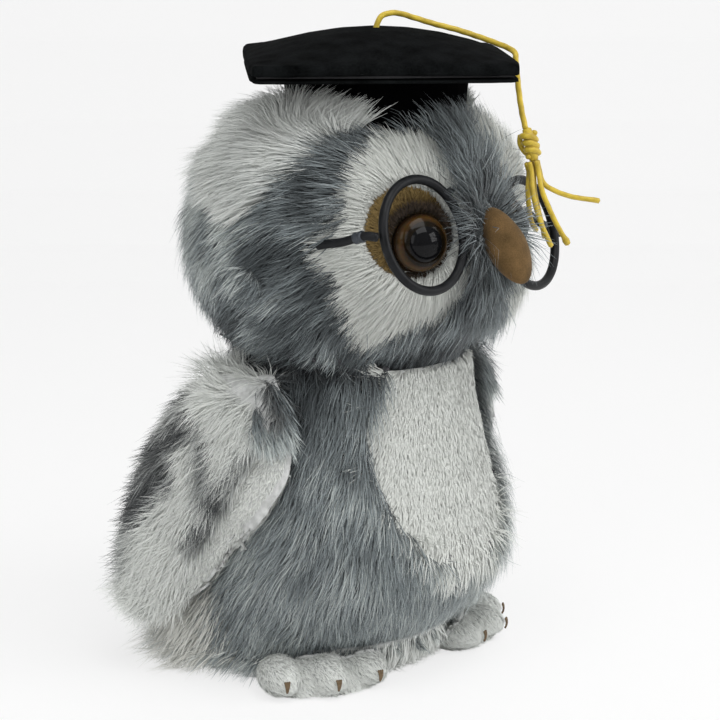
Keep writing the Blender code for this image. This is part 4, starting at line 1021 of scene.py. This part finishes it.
# The head: a ball of the same frosted fabric, its fibres brushed away from the beak, over the crown and
# round the sides, and long enough to fall over the neck and the lower edge of the cap.
head_middle = Vector((0.0, 0.007, 0.140))
beak_root = Vector((0.0, -0.050, 0.146))
beak_tip = Vector((0.0, -0.062, 0.128))
head_marks_and_arm_shadow = (((-0.0310, 0.1201), (-0.0173, 0.0964), 0.0115, 0.08),
                ((-0.0198, 0.1248), (-0.0074, 0.1021), 0.0028, 0.28),
                # Painted shadow: this stroke darkens the fur under the spectacle arm, where the arm's shadow
                # falls.
                ((-0.0366, 0.1286), (-0.0211, 0.1296), 0.0025, 0.35),
                ((-0.0449, 0.1191), (-0.0420, 0.1023), 0.0037, 0.28),
                ((0.0047, 0.0986), (0.0273, 0.1029), 0.0028, 0.45),
                ((-0.0017, 0.1682), (-0.0281, 0.1436), 0.0056, 0.08),
                ((-0.0555, 0.1512), (-0.0470, 0.1218), 0.0069, -0.35),
                ((-0.0394, 0.1427), (-0.0424, 0.1330), 0.0028, -0.35),
                ((-0.0220, 0.0918), (-0.0044, 0.0943), 0.0019, -0.30),
                ((-0.0560, 0.1650), (-0.0200, 0.1830), 0.0080, -0.50))
chin_strokes = (((0.0026, 0.1017), (0.0168, 0.1059), 0.0022, 0.60),
                ((0.0168, 0.1059), (0.0260, 0.1130), 0.0022, 0.60))


def head_faces(centre, normal):
    return normal.dot((centre - head_middle).normalized()) > 0.60


def head_flow(spot):
    """Away from the beak, and downwards under the chin and once round the side."""
    behind = rise(spot.y, -0.030, 0.045)
    chin = rise(0.128 - spot.z, 0.0, 0.012) * rise(-spot.y, 0.0, 0.020)
    down = (0.25 + 0.75 * behind) * rise(0.190 - spot.z, 0.0, 0.04)
    return ((spot - beak_root).normalized() * (1.0 - 0.45 * behind) + Vector((0.0, -0.2, -1.0)) * chin
            + Vector((0.0, 0.15, -1.0)) * down)


def head_shade(spot):
    brow = rise(-spot.y, 0.020, 0.040) * rise(0.022 - abs(spot.x), 0.0, 0.012)
    # The head's marks darken or pale the fur's own pattern, and one of them is a painted shadow of the
    # spectacle arm.
    return 0.32 - 0.07 * brow - stroke_depth(side_place(spot), head_marks_and_arm_shadow)


def head_reach(spot):
    """Short where it meets the lower edge of the face, and under the cap."""
    far = rise(spot.x, 0.008, 0.028) * rise(-spot.y, 0.008, 0.028)
    under_cap = rise(spot.z, 0.168, 0.176) * (1.0 - far)
    at_face = max(1.0 - stroke_depth(side_place(spot), chin_strokes), 0.3)
    return at_face * (1.0 - 0.55 * under_cap) * (1.0 + 0.4 * far)


def in_brow(spot):
    half_width = 0.010 + 0.007 * rise(spot.z, 0.150, 0.160)
    return abs(spot.x) < half_width and spot.y < -0.024 and 0.118 < spot.z < 0.176


def over_beak(spot):
    return abs(spot.x) < 0.010 and spot.y < -0.030 and 0.134 < spot.z < 0.163


head_backing = backing("head_skin", "head_backing", 0.0055, head_faces, hem_passes=6)
comb(head_backing, head_flow, head_shade, head_reach, tips=0.006)
grow_pile(head_backing, "head_fur", 30500, grey_pile, "owl", "grey_fur", length=0.0125, width=0.00029,
          lock_tone=1.7, lock_size=0.008)
grow_pile(head_backing, "head_fur_fine", 38500, grey_pile, "owl", "grey_fur", length=0.0115, width=0.00024,
          lock_tone=1.7, lock_size=0.008, points_along=3, tone_spread=0.5)
brow = cut_out(head_backing, "brow", in_brow)
grow_pile(brow, "brow_fur", 7500, grey_pile, "owl", "grey_fur", length=0.0165, width=0.00032, lean=0.12,
          bend=1.0, lock_tone=1.2, lock_size=0.007)
tuft = cut_out(head_backing, "tuft", over_beak)
comb_in = [component for vert in tuft.vertices for component in (beak_tip - vert.co).normalized()]
tuft.attributes["flow"].data.foreach_set("vector", comb_in)
grow_pile(tuft, "tuft_over_beak", 3000, grey_pile, "owl", "grey_fur", length=0.0100, width=0.00030, lean=0.45,
          bend=0.8)
lay_cloth(head_backing, "head_backing", grey_knit, "owl", "grey_fur", "head_skin")

# The face: on each side a panel of white plush round the eye, a white long-pile patch at the temple
# under the cap, and a disc of short tan plush that the eye's stem goes through.
tan_pile = pile_finish("tan_pile",
                       ((0.0, (0.015, 0.010, 0.004)), (0.35, (0.055, 0.034, 0.011)),
                        (1.0, (0.12, 0.078, 0.024))),
                       ((0.0, (0.025, 0.016, 0.006)), (0.35, (0.13, 0.085, 0.026)),
                        (1.0, (0.27, 0.185, 0.066))),
                       roughness=0.75, sheen=0.03)
tan_knit = knit_finish("tan_knit_backing", (0.28, 0.15, 0.055), (0.16, 0.085, 0.03))


def left_cheek(spot):
    """1 over the left cheek, whose fur is brushed out to the side, and 0 elsewhere."""
    beside_eye = rise(spot.x, 0.014, 0.028) * rise(abs(spot.z - 0.142), 0.003, 0.008)
    return beside_eye * rise(spot.z, 0.116, 0.124)


def face_reach(spot):
    return 1.0 + 0.9 * left_cheek(spot)


def temple_flow(spot):
    """Up and forward over the lower edge of the cap, and down the side of the head."""
    crest = rise(spot.z, 0.166, 0.176) * rise(0.012 - spot.y, 0.0, 0.012)
    return head_flow(spot) * (1.0 - crest) + Vector((0.0, -0.55, 1.0)) * crest


for hand in ("right", "left"):
    eye_low, eye_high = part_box("eye_" + hand)
    eye_middle = (eye_low + eye_high) / 2

    def face_flow(spot, eye_middle=eye_middle):
        """Away from the eye and the beak, and a little down."""
        return ((spot - eye_middle).normalized() + (spot - beak_root).normalized() * 0.7
                + Vector((0.0, 0.0, -0.25)))

    def disc_flow(spot, eye_middle=eye_middle):
        return spot - eye_middle

    def disc_shade(spot, eye_middle=eye_middle):
        """Dark beside the eye and paler at the edge."""
        return 0.60 * rise((spot - eye_middle).length, 0.0085, 0.0115)

    face = backing("face_panel_" + hand, "face_backing_" + hand, 0.0010, head_faces)
    comb(face, face_flow, lambda spot: 0.41, face_reach)
    grow_pile(face, "face_fur_" + hand, 23000, white_pile, "owl", "white_plush", length=0.0095, width=0.00028,
              lean=0.45, bend=0.7, tone_spread=0.25, lock_tone=0.3, lock_size=0.009, lock_turn=0.8,
              stray=0.18, points_along=3)
    lay_cloth(face, "face_backing_" + hand, white_knit, "owl", "white_plush", "face_panel_" + hand)

    temple = backing("temple_patch_" + hand, "temple_backing_" + hand, 0.0050, head_faces)
    comb(temple, temple_flow, lambda spot: 0.79)
    grow_pile(temple, "temple_fur_" + hand, 12000, white_long_pile, "owl", "white_fur", length=0.0135,
              width=0.00032, lean=0.45, tone_spread=0.2, lock_tone=0.3)
    lay_cloth(temple, "temple_backing_" + hand, white_knit, "owl", "white_fur", "temple_patch_" + hand)

    disc = backing("eye_patch_" + hand, "eye_patch_backing_" + hand, 0.0005, head_faces)
    comb(disc, disc_flow, disc_shade)
    grow_pile(disc, "eye_patch_pile_" + hand, 6000, tan_pile, "owl", "tan_plush", length=0.0024,
              width=0.00028, lean=0.7, bend=0.6, points_along=3, lock_size=0.004, lock_tone=0.6)
    lay_cloth(disc, "eye_patch_backing_" + hand, tan_knit, "owl", "tan_plush", "eye_patch_" + hand)


# The eyes: safety eyes with a domed black pupil in an amber ring, moulded in one with the stem that
# goes through the tan plush into a locking washer behind it.
EYE_STEPS, EYE_RADIUS, SEAT_DEPTH, STEM_RADIUS, STEM_LENGTH = 48, 0.0090, 0.0070, 0.0020, 0.0070
LOOK_ASIDE, LOOK_UP = math.radians(24.0), math.radians(3.0)


def ring_uv(mesh, middle, look, reach):
    """U runs out from the eye's axis, V round it."""
    side = look.orthogonal().normalized()
    up = look.cross(side)
    uv = mesh.uv_layers.new(name="eye_rings")
    for loop in mesh.loops:
        away = mesh.vertices[loop.vertex_index].co - middle
        away = away - look * away.dot(look)
        turn_share = math.atan2(away.dot(up), away.dot(side)) / math.tau + 0.5
        uv.data[loop.index].uv = (min(away.length / reach, 1.0), turn_share)


def turned_piece(name, profile, middle, look):
    """A lathe-turned piece on the eye's axis, from its front to its edge."""
    turned = bmesh.new()
    rings = []
    for radius, height in profile:
        steps = EYE_STEPS if radius > 1e-7 else 1
        angles = [math.tau * k / steps for k in range(steps)]
        rings.append([turned.verts.new((radius * math.cos(angle), radius * math.sin(angle), height))
                      for angle in angles])
    for one, two in zip(rings, rings[1:]):
        for k in range(EYE_STEPS):
            after = (k + 1) % EYE_STEPS
            if len(one) == 1:
                turned.faces.new((one[0], two[k], two[after]))
            elif len(two) == 1:
                turned.faces.new((one[after], one[k], two[0]))
            else:
                turned.faces.new((one[k], two[k], two[after], one[after]))
    bmesh.ops.recalc_face_normals(turned, faces=turned.faces)
    turned.transform(Matrix.Translation(middle) @ look.to_track_quat("Z", "Y").to_matrix().to_4x4())
    return mesh_of(turned, name)


def add_range(finish, value, from_min, from_max, to_min, to_max):
    """A value brought from one range into another, as a socket."""
    nodes = finish.node_tree.nodes
    ranged = nodes.new("ShaderNodeMapRange")
    for label, end in (("From Min", from_min), ("From Max", from_max), ("To Min", to_min),
                       ("To Max", to_max)):
        ranged.inputs[label].default_value = end
    finish.node_tree.links.new(value, ranged.inputs["Value"])
    return ranged.outputs["Result"]


def add_multiply(finish, colour, by, factor):
    """One colour multiplied by another, as far as the factor says, as the base colour."""
    wire = finish.node_tree.links.new
    blend = finish.node_tree.nodes.new("ShaderNodeMix")
    blend.data_type = "RGBA"
    blend.blend_type = "MULTIPLY"
    blend.inputs["Factor"].default_value = factor
    wire(colour, blend.inputs["A"])
    wire(by, blend.inputs["B"])
    feed_shader(finish, "Base Color", blend.outputs["Result"])


def dome(radius, height, rim_height, power):
    """The profile of a domed front, from its middle to its widest ring."""
    angles = [math.pi / 2 * k / 14 for k in range(1, 15)]
    return [(0.0, rim_height + height)] + [
        (radius * math.sin(angle), rim_height + height * math.cos(angle) ** power) for angle in angles]


iris_finish, nodes, shader, wire = new_material("amber_iris_moulding", Roughness=0.16,
                                                Specular_IOR_Level=0.12, Coat_Weight=0.10,
                                                Coat_Roughness=0.03)
rings_place = nodes.new("ShaderNodeUVMap")
rings_place.uv_map = "eye_rings"
ring_parts = nodes.new("ShaderNodeSeparateXYZ")
wire(rings_place.outputs["UV"], ring_parts.inputs[0])
iris_colours = colour_ramp(nodes, (
    (0.0, (0.004, 0.003, 0.002)), (0.74, (0.010, 0.006, 0.002)), (0.78, (0.040, 0.019, 0.005)),
    (0.88, (0.080, 0.042, 0.011)), (0.96, (0.028, 0.014, 0.005)), (1.0, (0.008, 0.005, 0.003))))
wire(ring_parts.outputs["X"], iris_colours.inputs["Fac"])
flecks = object_noise(iris_finish, 900.0).outputs["Color"]
add_multiply(iris_finish, iris_colours.outputs["Color"], flecks, 0.55)

pupil_finish, smear = mottled("black_pupil_moulding", (0.002, 0.002, 0.0025), (0.006, 0.006, 0.007), 240.0,
                              Specular_IOR_Level=0.12, Coat_Weight=0.05, Coat_Roughness=0.02)
feed_shader(pupil_finish, "Roughness", add_range(pupil_finish, smear["Height"], 0.0, 1.0, 0.03, 0.09))

lash_pile = pile_finish("dark_lash_pile",
                        ((0.0, (0.012, 0.008, 0.005)), (1.0, (0.03, 0.018, 0.010))),
                        ((0.0, (0.020, 0.013, 0.008)), (1.0, (0.06, 0.036, 0.018))), roughness=0.6, sheen=0.1)
for hand, side in (("right", -1.0), ("left", 1.0)):
    solid = cad_surface("eye_" + hand)
    look = Vector((math.sin(LOOK_ASIDE) * math.cos(LOOK_UP) * side, -math.cos(LOOK_ASIDE) * math.cos(LOOK_UP),
                   math.sin(LOOK_UP)))
    top = max((vert.co for vert in solid.verts), key=lambda spot: spot.dot(look)).copy()
    solid.free()
    seat = top - look * SEAT_DEPTH
    iris_profile = dome(0.0088, 0.0046, 0.0016, 1.2) + [(EYE_RADIUS, 0.0012), (EYE_RADIUS, 0.0004),
                                                        (0.0086, 0.0)]
    iris_profile += [(STEM_RADIUS, 0.0), (STEM_RADIUS, -STEM_LENGTH), (0.0, -STEM_LENGTH)]
    iris_mesh = turned_piece("eye_iris_" + hand, iris_profile, seat, look)
    ring_uv(iris_mesh, seat, look, EYE_RADIUS)
    iris = add_object("eye_iris_" + hand, iris_mesh, iris_finish)
    pupil_profile = dome(0.0068, 0.0047, 0.0022, 1.0) + [(0.0066, 0.0016), (0.0, 0.0016)]
    pupil_mesh = turned_piece("eye_pupil_" + hand, pupil_profile, seat, look)
    pupil = add_object("eye_pupil_" + hand, pupil_mesh, pupil_finish)
    for piece in (iris, pupil):
        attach(piece, "owl")
    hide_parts("eye_" + hand)

    def lash_flow(spot, seat=seat):
        return (spot - seat) + Vector((0.0, 0.0, 0.004))

    def lash_reach(spot, seat=seat):
        """Longer above the eye."""
        return 0.5 + 0.6 * rise(spot.z - seat.z, -0.004, 0.009)

    band_profile = ((0.0092, 0.0006), (0.0100, 0.0003), (0.0112, -0.0003))
    band = turned_piece("lash_band_" + hand, band_profile, seat, look)
    comb(band, lash_flow, lambda spot: 0.4, lash_reach)
    grow_pile(band, "eye_lashes_" + hand, 1500, lash_pile, "owl", "tan_plush", length=0.0022, width=0.00024,
              lean=0.30, bend=0.6, points_along=3, lock_size=0.004)

# The beak: two pieces of tan suede sewn into a drooping wedge, lightly stuffed, its root sewn into the
# fur between the eyes.
suede, hide = mottled("tan_suede", (0.085, 0.052, 0.020), (0.165, 0.098, 0.040), 190.0, low=0.30, high=0.70,
                      detail=4.0, Roughness=0.92, Specular_IOR_Level=0.12, Sheen_Weight=0.06)
nap = object_noise(suede, 2600.0).outputs["Fac"]
add_multiply(suede, hide["Colour"], add_range(suede, nap, 0.3, 0.7, 0.55, 1.15), 0.5)
add_relief(suede, nap, 0.6, 0.00012)

wedge = cad_surface("beak")
bmesh.ops.join_triangles(wedge, faces=wedge.faces, angle_face_threshold=0.7, angle_shape_threshold=1.2)
beak = add_object("beak_suede", mesh_of(wedge, "beak_suede"), suede)
rounded = beak.modifiers.new("rounded", "SUBSURF")
rounded.levels = rounded.render_levels = 2
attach(beak, "owl")
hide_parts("beak")

# The spectacles: two rims of stout black-coated wire, a low bridge over the beak's root, and an arm on
# each side, crimped to its rim with a short sleeve and pushed into the fur behind the temple.
RIM, WIRE, SPACING, WRAP = 0.0168, 0.00145, 0.0266, math.radians(6.3)
ARM, SLEEVE, SLEEVE_LENGTH, CRIMP_DEPTH, BRIDGE = 0.00135, 0.0018, 0.0030, 0.00016, 0.0012
BRIDGE_ANGLE = math.radians(42.0)


def closed_tube(line, radius, sides):
    """A round wire along a closed line, flat to the line's own plane."""
    middle = sum(line, Vector()) / len(line)
    axis = (line[0] - middle).cross(line[len(line) // 4] - middle).normalized()
    angles = [math.tau * k / sides for k in range(sides)]
    ring_wire = bmesh.new()
    rings = []
    for spot in line:
        out = (spot - middle).normalized()
        rings.append([ring_wire.verts.new(spot + (out * math.cos(angle) + axis * math.sin(angle)) * radius)
                      for angle in angles])
    join_rings(ring_wire, rings + rings[:1])
    bmesh.ops.recalc_face_normals(ring_wire, faces=ring_wire.faces)
    return mesh_of(ring_wire, "closed_tube")


def crimp_radius(share):
    """Narrowest in the middle, where the pliers pressed it."""
    return SLEEVE - CRIMP_DEPTH * math.exp(-((share - 0.5) / 0.16) ** 2)


black_wire, scuffs = mottled("black_coated_wire", (0.003, 0.0034, 0.0042), (0.010, 0.011, 0.013), 340.0,
                             low=0.35, high=0.75, detail=5.0, Specular_IOR_Level=0.2)
feed_shader(black_wire, "Roughness", add_range(black_wire, scuffs["Height"], 0.0, 1.0, 0.34, 0.55))
add_relief(black_wire, scuffs["Height"], 0.15, 0.00005)
bare_sleeve, _ = mottled("dark_crimped_sleeve", (0.02, 0.025, 0.032), (0.07, 0.08, 0.095), 500.0,
                         Roughness=0.35, Metallic=0.4)

lens_frame = (Matrix.Translation((-0.0007, -0.0412, 0.1438)) @ turn_about("Z", 1.6) @ turn_about("Y", 6.2)
              @ turn_about("X", -15.5))
for hand, side in (("right", -1.0), ("left", 1.0)):
    lens = lens_frame @ Matrix.Translation((side * SPACING, 0.0, 0.0)) @ Matrix.Rotation(side * WRAP, 4, "Z")
    angles = [math.tau * k / 96 for k in range(96)]
    circle = [lens @ Vector((RIM * math.cos(angle), 0.0, RIM * math.sin(angle))) for angle in angles]
    rim = add_object("rim_" + hand, closed_tube(circle, WIRE, 20), black_wire)
    start = lens_frame @ Vector((side * (SPACING + RIM + WIRE + 0.0003 + ARM), RIM * math.sin(WRAP), 0.0))
    bend = Vector((side * 0.0485, -0.0190, 0.1437))
    tuck = Vector((side * 0.0535, 0.0, 0.1378))
    elbow = start + Vector((side * 0.00135, 0.00405, 0.0))
    midway = start.lerp(bend, 0.6)
    arm_line = smooth_line([start, elbow, midway, bend, tuck], 8)
    arm = add_object("arm_" + hand, swept_tube(arm_line, ARM, 20), black_wire)
    crimp_start = elbow.lerp(midway, 0.03)
    crimp_way = (midway - elbow).normalized()
    crimp_line = [crimp_start + crimp_way * SLEEVE_LENGTH * k / 12 for k in range(13)]
    crimp = add_object("crimp_" + hand, swept_tube(crimp_line, crimp_radius, 20), bare_sleeve)
    for piece, node, slot in ((rim, "spectacle_rim_", "wire"), (arm, "temple_arm_", "wire"),
                              (crimp, "crimp_sleeve_", "sleeve")):
        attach(piece, "owl")
        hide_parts(node + hand)

clear = RIM + WIRE + 0.0006
aside, low = SPACING - clear * math.cos(BRIDGE_ANGLE), clear * math.sin(BRIDGE_ANGLE)
bridge_spots = [(-aside, 0.0, low), (-aside / 2, -0.0018, low + 0.00225), (0.0, -0.0018, low + 0.0030),
                (aside / 2, -0.0018, low + 0.00225), (aside, 0.0, low)]
bridge_line = smooth_line([lens_frame @ Vector(spot) for spot in bridge_spots], 8)
bridge = add_object("bridge", swept_tube(bridge_line, BRIDGE, 20), black_wire)
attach(bridge, "owl")
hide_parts("spectacle_bridge")

# The cap: two squares of black wool felt sewn round a stiff card, top-stitched near their edge, on a
# skull band of black velvet that is sewn to the head.
felt, nodes, shader, wire = new_material("black_wool_felt", Roughness=1.0, Specular_IOR_Level=0.02)
matting = nodes.new("ShaderNodeMath")
matting.operation = "MULTIPLY_ADD"
matting.inputs[1].default_value = 0.6
wire(object_noise(felt, 1500.0, detail=3.0).outputs["Fac"], matting.inputs[0])
wire(object_noise(felt, 160.0, detail=4.0).outputs["Fac"], matting.inputs[2])
wool = colour_ramp(nodes, ((0.50, (0.0012, 0.0014, 0.0014)), (1.0, (0.0075, 0.0085, 0.0088))))
wire(matting.outputs[0], wool.inputs["Fac"])
wire(wool.outputs["Color"], shader.inputs["Base Color"])
add_relief(felt, matting.outputs[0], 0.6, 0.00015)
velvet, _ = mottled("black_velvet", (0.0003, 0.0003, 0.0004), (0.0016, 0.0016, 0.0018), 90.0, Roughness=1.0,
                    Specular_IOR_Level=0.0, Sheen_Weight=0.01)
add_relief(velvet, object_noise(velvet, 2200.0).outputs["Fac"], 0.4, 0.0001)


def felt_square(node, name, soften):
    """A felt square: the CAD form with its edges rounded over and its faces evenly divided."""
    square = add_object(name, mesh_of(cad_surface(node), name))
    even = square.modifiers.new("even", "REMESH")
    even.mode = "VOXEL"
    even.voxel_size = 0.0010
    mesh = bpy.data.meshes.new_from_object(square.evaluated_get(bpy.context.evaluated_depsgraph_get()))
    bpy.data.objects.remove(square)
    cloth = bmesh.new()
    cloth.from_mesh(mesh)
    for _ in range(soften):
        even_out(cloth, cloth.verts)
    return mesh_of(cloth, name)


for node, name in (("cap_board_top", "felt_top"), ("cap_board_bottom", "felt_bottom")):
    square = add_object(name, felt_square(node, name, 3), felt)
    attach(square, "owl")
    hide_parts(node)

# What the fabric hides: polyester filling in the body, head and wings, a bag of pellets that holds
# the owl down, washers behind the eyes, the cap's card, and the knot under the board. The skull band's
# velvet is here with them, because all of these are shown as the solids that they are.
filling, _ = mottled("polyester_filling", (0.66, 0.66, 0.65), (0.84, 0.84, 0.83), 300.0, distortion=1.5,
                     Roughness=0.95)
black_card, _ = mottled("black_card", (0.016, 0.016, 0.017), (0.028, 0.028, 0.030), 700.0, Roughness=0.9)
for node, finish in (("body_stuffing", filling), ("head_stuffing", filling), ("wing_right_stuffing", filling),
                     ("wing_left_stuffing", filling), ("pellet_bag", white_knit),
                     ("eye_washer_right", filling), ("eye_washer_left", filling), ("cap_card", black_card),
                     ("cord_anchor_knot", cord_finish), ("cap_band", velvet)):
    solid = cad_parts[node]
    solid.data.materials.clear()
    solid.data.materials.append(finish)
